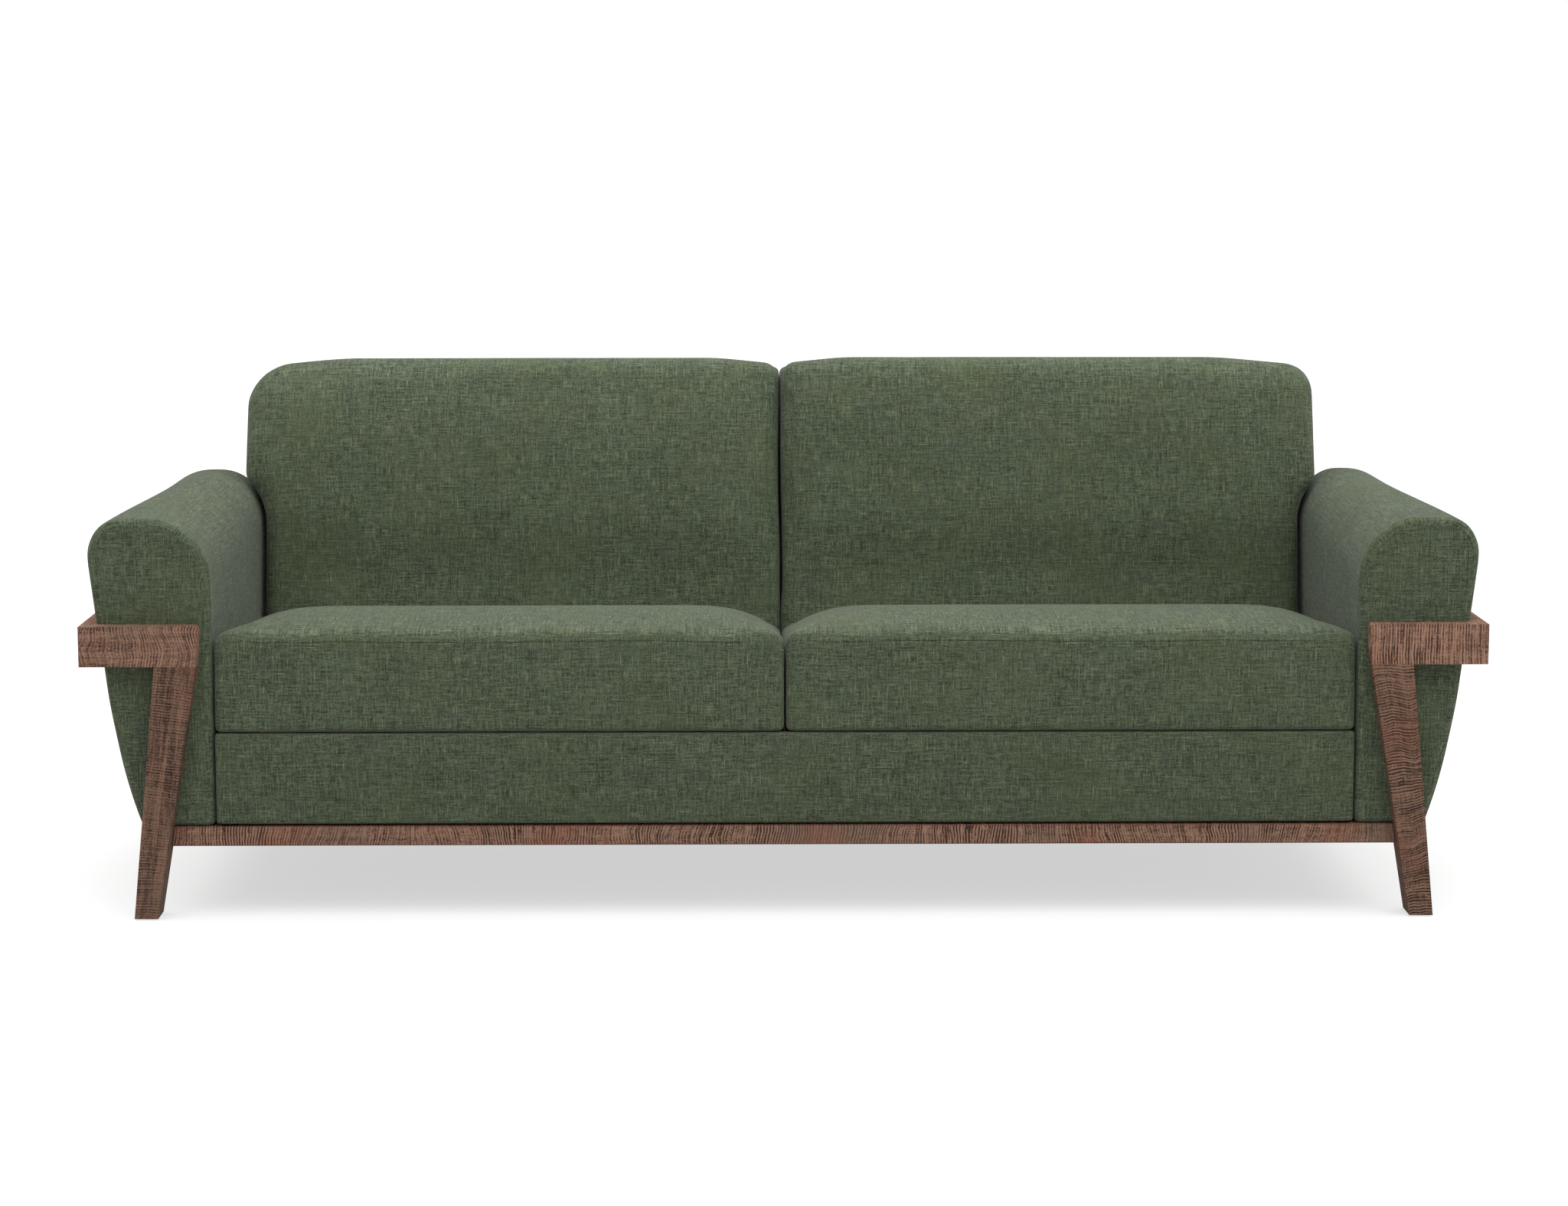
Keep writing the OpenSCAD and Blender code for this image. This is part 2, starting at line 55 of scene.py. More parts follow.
PIVOT_DROP = PIVOT_DEPTH / math.tan((math.pi / 2 + RAKE) / 2)
BACK_BELOW_SEAT = 0.215
SWING_R = math.hypot(PIVOT_DEPTH, BACK_BELOW_SEAT - PIVOT_DROP)
FRONT_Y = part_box("front_right_leg")[0].y
SEAT_LOW, SEAT_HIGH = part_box("right_seat_cushion")
ARM_LOW, ARM_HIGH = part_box("right_arm_pad")

# ---- The back's own frame: s runs up its front plane, e is depth behind it ----

UP = np.array([0.0, math.sin(RAKE), math.cos(RAKE)])
DEEP = np.array([0.0, math.cos(RAKE), -math.sin(RAKE)])
CREASE = np.array([0.0, PIVOT_Y, PIVOT_Z]) - PIVOT_DEPTH * DEEP + PIVOT_DROP * UP

ABOVE = (0, 0, 1)
AHEAD = (0, -1, 0)


def smooth(low, high, x):
    """0 below low, 1 above high, and a smooth step between."""
    t = np.clip((np.asarray(x, float) - low) / (high - low), 0, 1)
    return t * t * (3 - 2 * t)


# ---- Meshes ----

FINE_STEP = 0.003
STEP_GROWTH = 1.45
SEAM_HALF = 0.0016
SEAM_CLEAR = 2.5 * SEAM_HALF
SIDE_CLOTH = 0.37
OTHER_HAND_CLOTH = 11.37
TINY = 1e-9


def ticks(length, cell, fine=FINE_STEP, seams=()):
    """Positions along an edge: fine steps at both ends and at seams, and the cell size between."""
    ends = [0.0]
    step = fine
    while step < cell and ends[-1] < length / 4:
        ends.append(ends[-1] + step)
        step *= STEP_GROWTH
    middle = length - 2 * ends[-1]
    count = max(2, round(middle / cell))
    inner = [ends[-1] + middle * i / count for i in range(1, count)]
    found = np.array(ends + inner + [length - e for e in reversed(ends)])
    for seam in seams:
        found = found[np.abs(found - seam) > SEAM_CLEAR]
        found = np.concatenate([found, seam + SEAM_HALF * np.arange(-2, 3)])
    return np.sort(found)


def box_shell(tx, ty, tz):
    """The surface grid of a box: points, index triples, outward quads, and each quad's axis."""
    nx, ny, nz = len(tx) - 1, len(ty) - 1, len(tz) - 1
    index, triples, quads, axes = {}, [], [], []

    def at(i, j, k):
        key = (i, j, k)
        if key not in index:
            index[key] = len(triples)
            triples.append(key)
        return index[key]

    for j in range(ny):
        for k in range(nz):
            quads.append((at(0, j, k), at(0, j, k + 1), at(0, j + 1, k + 1), at(0, j + 1, k)))
            quads.append((at(nx, j, k), at(nx, j + 1, k), at(nx, j + 1, k + 1), at(nx, j, k + 1)))
            axes += [0, 0]
    for i in range(nx):
        for k in range(nz):
            quads.append((at(i, 0, k), at(i + 1, 0, k), at(i + 1, 0, k + 1), at(i, 0, k + 1)))
            quads.append((at(i, ny, k), at(i, ny, k + 1), at(i + 1, ny, k + 1), at(i + 1, ny, k)))
            axes += [1, 1]
    for i in range(nx):
        for j in range(ny):
            quads.append((at(i, j, 0), at(i, j + 1, 0), at(i + 1, j + 1, 0), at(i + 1, j, 0)))
            quads.append((at(i, j, nz), at(i + 1, j, nz), at(i + 1, j + 1, nz), at(i, j + 1, nz)))
            axes += [2, 2]
    triples = np.array(triples)
    points = np.stack([tx[triples[:, 0]], ty[triples[:, 1]], tz[triples[:, 2]]], 1)
    return points, triples, quads, axes


def rounded(points, size, radii):
    """Rounds the edges of a box's surface points with an ellipsoid of the given radii."""
    radii = np.asarray(radii, float)
    inner = np.clip(points, radii, np.asarray(size) - radii)
    out = (points - inner) / radii
    reach = np.linalg.norm(out, axis=1, keepdims=True)
    peak = np.abs(out).max(1, keepdims=True)
    return inner + out / np.maximum(reach, TINY) * peak * radii


def new_object(name, points, faces, material):
    mesh = bpy.data.meshes.new(name)
    mesh.from_pydata([tuple(p) for p in points], [], [tuple(f) for f in faces])
    mesh.materials.append(material)
    mesh.update()
    obj = bpy.data.objects.new(name, mesh)
    bpy.context.scene.collection.objects.link(obj)
    return obj


def set_uv(obj, uv_of_loop):
    layer = obj.data.uv_layers.new(name="cloth")
    layer.data.foreach_set("uv", np.asarray(uv_of_loop, np.float32).reshape(-1))


def box_uv(points, quads, axes, shift, drawn=1.0):
    """Cloth coordinates in metres for each side of a box shell. drawn stretches the top's cloth."""
    pairs = ((1, 2), (0, 2), (0, 1))
    rows = []
    for quad, axis in zip(quads, axes):
        a, b = pairs[axis]
        offset = shift + SIDE_CLOTH * axis
        along = drawn if axis == 2 else 1.0
        rows += [(points[v][a] + offset, along * points[v][b] + offset) for v in quad]
    return rows


def read(items, field, width=1):
    """One property of every item, a row each."""
    found = np.zeros(len(items) * width, np.float32)
    items.foreach_get(field, found)
    return found.reshape(-1, width)


def coords(obj):
    return read(obj.data.vertices, "co", 3).astype(float)


def set_coords(obj, co):
    obj.data.vertices.foreach_set("co", np.asarray(co, np.float32).reshape(-1))
    obj.data.update()


def mirrored(obj, name=None):
    """A left-hand copy of a right-hand mesh, or the mesh itself turned over if no name is given."""
    mesh = obj.data.copy() if name else obj.data
    co = read(mesh.vertices, "co", 3)
    co[:, 0] *= -1
    mesh.vertices.foreach_set("co", co.reshape(-1))
    mesh.flip_normals()
    # The weave isn't mirrored with the shape: each side has its own stretch of cloth.
    layer = mesh.uv_layers[0].data
    uv = read(layer, "uv", 2) + np.float32(OTHER_HAND_CLOTH)
    layer.foreach_set("uv", uv.reshape(-1))
    mesh.update()
    if not name:
        return obj
    mesh.name = name
    copy = bpy.data.objects.new(name, mesh)
    bpy.context.scene.collection.objects.link(copy)
    return copy


def apply_modifiers(obj):
    """Replaces the object's mesh with the result of its modifiers."""
    depsgraph = bpy.context.evaluated_depsgraph_get()
    result = bpy.data.meshes.new_from_object(obj.evaluated_get(depsgraph))
    obj.modifiers.clear()
    obj.data = result


def subdivide(obj):
    mod = obj.modifiers.new("smooth", "SUBSURF")
    mod.levels = 1
    mod.render_levels = 1
    apply_modifiers(obj)
    obj.data.shade_smooth()


# ---- Cloth simulation ----

CLOTH_FRAMES = 16
CLOTH_VOXEL = 0.014
CLOTH_PRESSURE = 4.0
CLOTH_NEAREST = 10


def simulate(obj):
    """Start positions and movements of a remeshed copy of obj, inflated as cloth."""
    copy = obj.copy()
    copy.data = obj.data.copy()
    bpy.context.scene.collection.objects.link(copy)
    remesh = copy.modifiers.new("remesh", "REMESH")
    remesh.mode = "VOXEL"
    remesh.voxel_size = CLOTH_VOXEL
    apply_modifiers(copy)
    start = coords(copy)
    cloth = copy.modifiers.new("cloth", "CLOTH")
    s = cloth.settings
    s.quality = 5
    s.mass = 0.4
    s.tension_stiffness = 40
    s.compression_stiffness = 40
    s.shear_stiffness = 15
    s.bending_stiffness = 2
    s.air_damping = 5
    s.use_pressure = True
    s.uniform_pressure_force = CLOTH_PRESSURE
    s.effector_weights.gravity = 0
    cloth.point_cache.frame_start = 1
    cloth.point_cache.frame_end = CLOTH_FRAMES
    scene = bpy.context.scene
    for number in range(1, CLOTH_FRAMES + 1):
        scene.frame_set(number)
    depsgraph = bpy.context.evaluated_depsgraph_get()
    end = coords(copy.evaluated_get(depsgraph))
    scene.frame_set(1)
    bpy.data.objects.remove(copy)
    return start, end - start


def inflate(obj, cap, ways):
    """Swells obj as the cloth simulation says, by up to cap each way.

    ways lists directions, each with a function for every point's freedom, 0 to 1.
    """
    start, move = simulate(obj)
    tree = kdtree.KDTree(len(start))
    for i, p in enumerate(start):
        tree.insert(p, i)
    tree.balance()
    co = coords(obj)
    shift = np.zeros_like(co)
    spread = 2 * CLOTH_VOXEL * CLOTH_VOXEL
    for v, p in enumerate(co):
        total = 0.0
        for _, i, far in tree.find_n(p, CLOTH_NEAREST):
            weight = math.exp(-far * far / spread)
            shift[v] += weight * move[i]
            total += weight
        shift[v] /= total
    out = co.copy()
    for way, freedom in ways:
        swell = np.maximum(shift @ np.asarray(way, float), 0)
        out += np.outer(cap * np.tanh(swell / cap) * freedom(co), way)
    set_coords(obj, out)


# ---- Seams ----

def mark_seam(obj, weights):
    """Stores how much of a seam each vertex is, for the groove and for the painted shade that the
    material lays along it.
    """
    layer = obj.data.attributes.new("seam", "FLOAT", "POINT")
    layer.data.foreach_set("value", np.asarray(weights, np.float32))


def press_seams(obj, depth):
    """Presses the marked seams in along the normals."""
    values = read(obj.data.attributes["seam"].data, "value")
    normals = read(obj.data.vertex_normals, "vector", 3).astype(float)
    set_coords(obj, coords(obj) - normals * (values * depth))


# ---- Materials ----

class Nodes:
    """Short calls for building one material's node tree."""

    def __init__(self, name):
        self.material = bpy.data.materials.new(name)
        self.material.use_nodes = True
        self.tree = self.material.node_tree
        self.shader = self.tree.nodes["Principled BSDF"]

    def put(self, made, inputs):
        """Sets a node's inputs: a socket is linked, and anything else is a constant."""
        for key, value in inputs.items():
            if hasattr(value, "is_output"):
                self.tree.links.new(value, made.inputs[key])
            else:
                made.inputs[key].default_value = value

    def node(self, kind, inputs, **settings):
        made = self.tree.nodes.new(kind)
        for key, value in settings.items():
            setattr(made, key, value)
        self.put(made, inputs)
        return made.outputs

    def math(self, operation, a, b=0.0, clamp=False):
        return self.node("ShaderNodeMath", {0: a, 1: b}, operation=operation, use_clamp=clamp)[0]

    def times(self, a, b, clamp=False):
        return self.math("MULTIPLY", a, b, clamp)

    def plus(self, first, *others):
        for other in others:
            first = self.math("ADD", first, other)
        return first

    def centred(self, value, weight):
        """A 0 to 1 value made to run both ways from zero."""
        return self.times(self.math("SUBTRACT", value, 0.5), weight)

    def mix(self, factor, a, b):
        return self.node("ShaderNodeMix", {0: factor, 6: a, 7: b}, data_type="RGBA")[2]

    def place(self, kind="Object"):
        return self.node("ShaderNodeTexCoord", {})[kind]

    def split(self, vector):
        return self.node("ShaderNodeSeparateXYZ", {0: vector})

    def joined(self, *parts):
        return self.node("ShaderNodeCombineXYZ", dict(enumerate(parts)))[0]

    def scaled(self, vector, scale, turn=(0, 0, 0)):
        inputs = {"Vector": vector, "Scale": scale, "Rotation": turn}
        return self.node("ShaderNodeMapping", inputs)[0]

    def noise(self, vector, scale=1.0, detail=2.0, roughness=0.5, distortion=0.0):
        inputs = {"Vector": vector, "Scale": scale, "Detail": detail,
                  "Roughness": roughness, "Distortion": distortion}
        return self.node("ShaderNodeTexNoise", inputs)["Fac"]

    def step(self, value, low, high):
        inputs = {"Value": value, "From Min": low, "From Max": high}
        return self.node("ShaderNodeMapRange", inputs, interpolation_type="SMOOTHSTEP")["Result"]

    def bump(self, height, distance, strength):
        inputs = {"Height": height, "Distance": distance, "Strength": strength}
        return self.node("ShaderNodeBump", inputs)["Normal"]

    def finish(self, color, normal, roughness, **others):
        """Sets the shader's sockets. In the names of others, _ stands for a space."""
        self.put(self.shader, {"Base Color": color, "Normal": normal, "Roughness": roughness})
        self.put(self.shader, {key.replace("_", " "): value for key, value in others.items()})
        return self.material


def toned(tone, color):
    return tuple(tone * c for c in color) + (1,)


THREAD = 0.0021
LINEN_DARK = (0.032, 0.042, 0.0235)
LINEN_LIGHT = (0.141, 0.172, 0.110)
LINEN_OLIVE = (0.097, 0.118, 0.053)
LINEN_SLATE = (0.065, 0.084, 0.075)
LINEN_STRAW = (0.305, 0.330, 0.185)
# Near-black painted shade for the seam grooves.
PAINTED_SEAM_SHADE = (0.010, 0.013, 0.008, 1)


def crossed(n, uv, across, along, detail=2, roughness=0.5):
    """Noise drawn out along the warp, and the same along the weft."""
    warp = n.noise(n.scaled(uv, (across, along, 1)), detail=detail, roughness=roughness)
    weft = n.noise(n.scaled(uv, (along, across, 1)), detail=detail, roughness=roughness)
    return warp, weft


def woven(n, uv):
    """The up and down of a plain weave, with slightly uneven threads."""
    across = n.split(uv)
    wobble = n.times(n.noise(uv, 60), 3.0)
    wave = 2 * math.pi / THREAD
    warp = n.math("SINE", n.plus(n.times(across[0], wave), wobble))
    weft = n.math("SINE", n.plus(n.times(across[1], wave), wobble))
    return n.times(warp, weft)


def linen(name, tone):
    """Dark green linen-look cloth: crossed threads, slubs both ways, soft mottling, and painted
    shade darkening the seams.
    """
    n = Nodes(name)
    uv = n.place("UV")
    weave = woven(n, uv)
    threads = n.plus(*crossed(n, uv, 580, 70, 3, 0.75))
    streak_warp, streak_weft = crossed(n, uv, 430, 38, 2, 0.6)
    bands = n.plus(*crossed(n, uv, 260, 10))
    fleck = n.noise(uv, 330, detail=2, roughness=0.7)
    slub = n.math("MAXIMUM", n.step(streak_warp, 0.60, 0.76), n.step(streak_weft, 0.61, 0.77))
    mottle = n.noise(uv, 9, detail=4, roughness=0.6)
    hue = n.noise(n.scaled(uv, (1, 1, 1), (0, 0, 0.6)), 5.5, detail=3)
    blot = n.noise(uv, 17, detail=3)
    mixed = n.plus(n.times(threads, 0.29), n.times(n.plus(streak_warp, streak_weft), 0.24),
                   n.times(bands, 0.15), n.times(fleck, 0.34))
    color = n.mix(n.step(mixed, 0.715, 0.985), toned(tone, LINEN_DARK), toned(tone, LINEN_LIGHT))
    color = n.mix(n.times(n.step(hue, 0.42, 0.75), 0.35), color, toned(tone, LINEN_OLIVE))
    color = n.mix(n.times(n.step(blot, 0.45, 0.75), 0.22), color, toned(tone, LINEN_SLATE))
    color = n.mix(n.times(slub, 0.48), color, toned(tone, LINEN_STRAW))
    color = n.mix(n.times(n.step(mottle, 0.3, 0.7), 0.10), color, (0, 0, 0, 1))
    # Painted shade: the seams are darkened towards near-black, standing in for the shadow in their
    # grooves.
    seam = n.node("ShaderNodeAttribute", {}, attribute_name="seam")["Fac"]
    color = n.mix(n.times(seam, 0.6, clamp=True), color, PAINTED_SEAM_SHADE)
    height = n.plus(n.times(weave, 0.30), n.times(threads, 0.6), n.times(slub, 0.5))
    return n.finish(color, n.bump(height, 0.0006, 0.6), 0.95, Specular_IOR_Level=0.15,
                    Sheen_Weight=0.2, Sheen_Roughness=0.4, Sheen_Tint=(0.68, 0.70, 0.68, 1))


SAW_PITCH = 0.0046
OAK_DEEP = (0.050, 0.024, 0.016)
OAK_BROWN = (0.40, 0.225, 0.150)
OAK_GREY = (0.235, 0.165, 0.125)
OAK_RED = (0.290, 0.105, 0.062)
# Rubbed edge colour, made darker as painted shade along the edges and the joints between timbers.
OAK_WORN_AND_SHADED = (0.150, 0.062, 0.040)


def saw_marks(n, board, sawn, swirl):
    """Saw ridges that run across a board and sweep round in places."""
    bend = n.times(n.noise(n.scaled(board, (6, 15, 15)), detail=2, roughness=0.4), swirl)
    length, width, depth = n.split(board)
    along = n.plus(length, bend)
    ridge = n.math("SINE", n.times(along, 2 * math.pi / SAW_PITCH))
    patch = n.step(n.noise(n.scaled(board, (8, 5, 5), (0, 0, 0.3)), detail=2), 0.36, 0.60)
    broken = n.step(n.noise(n.scaled(board, (150, 60, 60)), detail=2), 0.30, 0.62)
    reach = n.times(n.plus(n.times(patch, 0.75), 0.25), broken)
    swept = n.scaled(n.joined(along, width, depth), (320, 17, 17))
    streak = n.noise(swept, detail=3, roughness=0.65)
    rough_cut = n.times(n.math("SUBTRACT", streak, 0.5), n.plus(patch, 1.0))
    return n.plus(n.times(n.times(ridge, reach), 0.55 * sawn), n.times(rough_cut, 1.08 * sawn))


def oak(name, axis, lean, tone, worn_and_shaded, sawn, swirl, fibred):
    """Brown stained rough-sawn oak. axis is the board's length, and lean tips it about Y."""
    n = Nodes(name)
    sides = n.split(n.scaled(n.place(), (1, 1, 1), (0, lean, 0)))
    order = [axis] + [i for i in range(3) if i != axis]
    board = n.joined(*[sides[i] for i in order])
    saw = saw_marks(n, board, sawn, swirl)
    grain = n.noise(n.scaled(board, (6, 120, 120)), detail=5, roughness=0.65, distortion=0.25)
    fibre = n.noise(n.scaled(board, (60, 420, 420)), detail=3, roughness=0.7)
    fleck = n.noise(board, 330, detail=3, roughness=0.7)
    shade = n.plus(saw, n.centred(grain, 1.5 * fibred), n.centred(fibre, 0.9),
                   n.centred(fleck, 1.2))
    color = n.mix(n.step(shade, -0.46, 0.42), toned(tone, OAK_DEEP), toned(tone, OAK_BROWN))
    stain = n.noise(board, 6, detail=3)
    color = n.mix(n.times(n.step(stain, 0.46, 0.68), 0.40), color, toned(tone, OAK_GREY))
    blush = n.noise(board, 9, detail=2)
    color = n.mix(n.times(n.step(blush, 0.50, 0.72), 0.42), color, toned(tone, OAK_RED))
    # The eased edges get rubbed wear plus painted shade, which darkens them like the shadow at
    # edges and joints.
    if worn_and_shaded:
        color = n.mix(0.7, color, toned(tone, OAK_WORN_AND_SHADED))
    height = n.plus(n.times(saw, 2.0), n.plus(grain, fibre))
    rough = n.plus(n.times(grain, 0.2), 0.6)
    return n.finish(color, n.bump(height, 0.0007, 0.6), rough, Specular_IOR_Level=0.2)


def plain_wood(name, axis, low, high):
    """Bare board: long grain in two tones."""
    n = Nodes(name)
    stretch = [55, 55, 55]
    stretch[axis] = 4
    place = n.place()
    grain = n.noise(n.scaled(place, tuple(stretch)), detail=5, distortion=0.7)
    fibre = n.noise(n.scaled(place, tuple(6 * s for s in stretch)), detail=2)
    color = n.mix(n.step(grain, 0.38, 0.66), low + (1,), high + (1,))
    return n.finish(color, n.bump(n.plus(grain, n.times(fibre, 0.5)), 0.0003, 0.4), 0.68)


def black_lining(name):
    """Thin non-woven cloth with a pressed dot pattern."""
    n = Nodes(name)
    place = n.place()
    dots = n.node("ShaderNodeTexVoronoi", {"Vector": place, "Scale": 420})["Distance"]
    fibre = n.noise(place, 900, detail=2)
    color = n.mix(fibre, (0.008, 0.008, 0.009, 1), (0.022, 0.022, 0.024, 1))
    height = n.plus(dots, n.times(fibre, 0.4))
    return n.finish(color, n.bump(height, 0.0003, 0.5), 0.85)


def metal(name, color, metallic, roughness, scale):
    """Plated or painted steel with fine scratches and cloudy gloss."""
    n = Nodes(name)
    place = n.place()
    cloud = n.noise(place, 60, detail=4)
    scratch = n.noise(n.scaled(place, (scale, scale, scale * 14)), detail=2)
    shade = n.mix(n.times(cloud, 0.35), toned(1.0, color), toned(0.6, color))
    rough = n.plus(n.times(cloud, 0.25), roughness - 0.1)
    return n.finish(shade, n.bump(scratch, 0.0001, 0.3), rough, Metallic=metallic)


def dark_plastic(name):
    """Slightly gritty moulded plastic."""
    n = Nodes(name)
    grit = n.noise(n.place(), 700, detail=2)
    color = n.mix(grit, (0.018, 0.018, 0.018, 1), (0.035, 0.035, 0.036, 1))
    return n.finish(color, n.bump(grit, 0.0002, 0.4), 0.6)


FLOOR_GLOW = 0.12
FLOOR_GLOW_SEEN = 0.60


def floor_panel(name):
    """A pale studio floor that glows a little, so its shadows stay light."""
    n = Nodes(name)
    color = n.mix(n.noise(n.place(), 2), (0.40, 0.40, 0.40, 1), (0.42, 0.42, 0.42, 1))
    seen = n.node("ShaderNodeLightPath", {})["Is Camera Ray"]
    ends = {"Value": seen, "To Min": FLOOR_GLOW, "To Max": FLOOR_GLOW_SEEN}
    glow = n.node("ShaderNodeMapRange", ends)["Result"]
    n.put(n.shader, {"Base Color": color, "Roughness": 0.9, "Specular IOR Level": 0.0,
                     "Emission Color": (1, 1, 1, 1), "Emission Strength": glow})
    return n.material


# ---- How far each arm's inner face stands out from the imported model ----

SIDE_SHIFT = {"right": (0.008, 0.013), "left": (0.005, 0.003)}


def side_shift(side, y):
    """The shift at depth y, which changes from its front value to its rear one at the crease."""
    front, rear = SIDE_SHIFT[side]
    return front + (rear - front) * smooth(ARM_LOW.y, CREASE[1], y)


# ---- Back halves ----

BACK_TOP = 0.4085
BACK_FOOT = -0.212
BACK_DEPTH = 0.160
BACK_CELL = 0.012
BACK_SWELL = 0.009
BACK_SEAM = 0.45
BACK_SEAM_DEEP = 0.0008
PANEL_START = 0.1615
PANEL_END = 0.185
PANEL_BELOW = 0.009
PANEL_IN = 0.014
PANEL_CELL = 0.020
PANEL_CLOTH = 1.3
BACK_INNER = 0.0007
BACK_TOUCH = 0.0002
PARTING = 0.0030
NARROW_INNER = 0.020
NARROW_OUTER = 0.882
NARROW_FROM = -0.080
NARROW_TO = -0.062
FRONT_DEEPER = 0.055
ARM_CLEAR = 0.007
ARM_RISE = 0.007
ROLL_R = 0.102
REAR_ROLL_R = 0.086
BOXING_IN = 0.020
BACK_BOW = 0.006

# Edge radii, and how much fuller the cushion's front and top are.
REAR_EDGE_R = 0.010
PANEL_EDGE_R = 0.009
FRONT_FULLER = 0.014
TOP_FULLER = 0.006
TOP_DEEPER = 0.024
FOOT_TIGHTER = 0.004

# The top edge comes down near both ends: how far, and over what length.
OUTER_DROP, OUTER_DROP_RUN = 0.013, 0.20
INNER_DROP, INNER_DROP_RUN = 0.009, 0.13

# How far out each half reaches, and the radius of its outer top corner.
WIDEST = {"right": 0.956, "left": 0.951}
CORNER_R = {"right": 0.050, "left": 0.078}

# The top leans back: how far, and from how far down.
TOP_LEAN = {"right": 0.015, "left": 0.027}
TOP_LEAN_FROM = {"right": 0.13, "left": 0.21}


def back_outer_x(z, widest, side):
    """How far out a back half may reach at height z: free above the arm, then round its roll."""
    roll_x = ARM_LOW.x + SIDE_SHIFT[side][1] + REAR_ROLL_R
    roll_z = ARM_HIGH.z - REAR_ROLL_R + ARM_RISE
    reach = REAR_ROLL_R + ARM_CLEAR
    rise = np.clip((z - roll_z) / reach, 0, 1)
    x = roll_x - reach * np.sqrt(1 - rise * rise)
    return np.minimum(x, widest)


def back_drop(from_inner, from_outer):
    """How far the top edge of a back half comes down near its ends."""
    outer = OUTER_DROP * (1 - smooth(0.0, OUTER_DROP_RUN, from_outer))
    inner = INNER_DROP * (1 - smooth(0.0, INNER_DROP_RUN, from_inner))
    return outer + inner


def back_points(box, height, start, widest, part, side):
    """Turns box points (x 0..1, depth, height in metres) into a right-hand back half."""
    a = box[:, 0]
    e = start + box[:, 1]
    s = BACK_FOOT + box[:, 2]
    wide = widest - BACK_INNER
    high = smooth(0.6, 1.0, (s - BACK_FOOT) / height)
    lean = np.clip((s - BACK_TOP) / TOP_LEAN_FROM[side] + 1, 0, 1)
    e = e + TOP_LEAN[side] * lean * lean * (1 - smooth(0.0, 0.09, e))
    s = s - high * back_drop(a * wide, (1 - a) * wide)
    z = CREASE[2] + s * UP[2] + e * DEEP[2]
    # The foot is narrower, to pass between the hinges.
    front = FRONT_DEEPER * (1 - smooth(0.06, 0.10, e))
    low = 1 - smooth(NARROW_FROM - front, NARROW_TO - front, s)
    outer = back_outer_x(z, widest, side) * (1 - low) + NARROW_OUTER * low
    # The halves stand apart in front only: behind that, and at the foot, they all but touch.
    apart = (1 - smooth(0.05, 0.09, e)) * smooth(-0.05, -0.02, s)
    meet = BACK_TOUCH + (BACK_INNER - BACK_TOUCH + part(s)) * apart
    inner = meet * (1 - low) + NARROW_INNER * low
    x = inner + a * (outer - inner)
    return np.stack([x, CREASE[1] + s * UP[1] + e * DEEP[1], z], 1)


def back_radii(points, size, corner):
    """Edge radii of a back cushion: fuller at the top, and corner at its outer top corner."""
    outward = smooth(0.4, 0.9, points[:, 0] / size[0])
    high = smooth(0.55, 0.95, points[:, 2] / size[2])
    front = 1 - smooth(0.4, 0.75, points[:, 1] / size[1])
    edge = REAR_EDGE_R + (FRONT_FULLER + TOP_FULLER * high) * front
    across = edge + high * (corner - edge) * outward
    deep = REAR_EDGE_R + (FRONT_FULLER + TOP_DEEPER * high) * front
    round_off = high * (corner - edge + FOOT_TIGHTER) * outward
    tall = edge - FOOT_TIGHTER * front * (1 - high) + round_off
    return np.stack([across, deep, tall], 1)


def panel_radii(points, size, corner):
    """Edge radii of a rear panel: small, but with the cushion's outer top corner."""
    outward = smooth(0.6, 0.95, points[:, 0] / size[0]) * smooth(0.7, 0.97, points[:, 2] / size[2])
    wide = PANEL_EDGE_R + (corner - PANEL_EDGE_R) * outward
    return np.stack([wide, np.full(len(points), PANEL_EDGE_R), wide], 1)


def back_piece(name, side, slab, widest, part, material):
    """A closed padded slab in the back's frame, built as a right-hand half."""
    wide = widest - BACK_INNER
    size = (wide, slab["depth"], slab["top"] - BACK_FOOT)
    seams = (BOXING_IN, wide - BOXING_IN)
    cell = slab["cell"]
    tx, ty, tz = ticks(size[0], cell, seams=seams), ticks(size[1], cell), ticks(size[2], cell)
    points, triples, quads, axes = box_shell(tx, ty, tz)
    shape = rounded(points, size, slab["radii"](points, size, CORNER_R[side]))
    unit = shape / np.array([wide, 1, 1])
    placed = back_points(unit, size[2], slab["start"], widest, part, side)
    obj = new_object(name, placed, quads, material)
    flat = placed - CREASE
    cloth = np.stack([placed[:, 0], flat @ DEEP, flat @ UP], 1)
    set_uv(obj, box_uv(cloth, quads, axes, slab["cloth"]))
    # A boxing seam runs up the front, just in from each end.
    off_seam = np.min([np.abs(points[:, 0] - seam) for seam in seams], axis=0)
    line = (triples[:, 1] == 0) & (off_seam < SEAM_HALF / 2)
    mark_seam(obj, line * BACK_SEAM * smooth(0.02, 0.07, size[2] - points[:, 2]))
    return obj


def back_front(co):
    """How far each point of a back cushion may swell forwards."""
    flat = co - CREASE
    s = flat @ UP
    e = flat @ DEEP
    return smooth(0.0, 0.12, s) * (1 - smooth(0.02, 0.09, e))


def back_top(co):
    """How far each point of a back cushion may swell upwards."""
    s = (co - CREASE) @ UP
    return 0.3 * smooth(BACK_TOP - 0.09, BACK_TOP - 0.02, s)


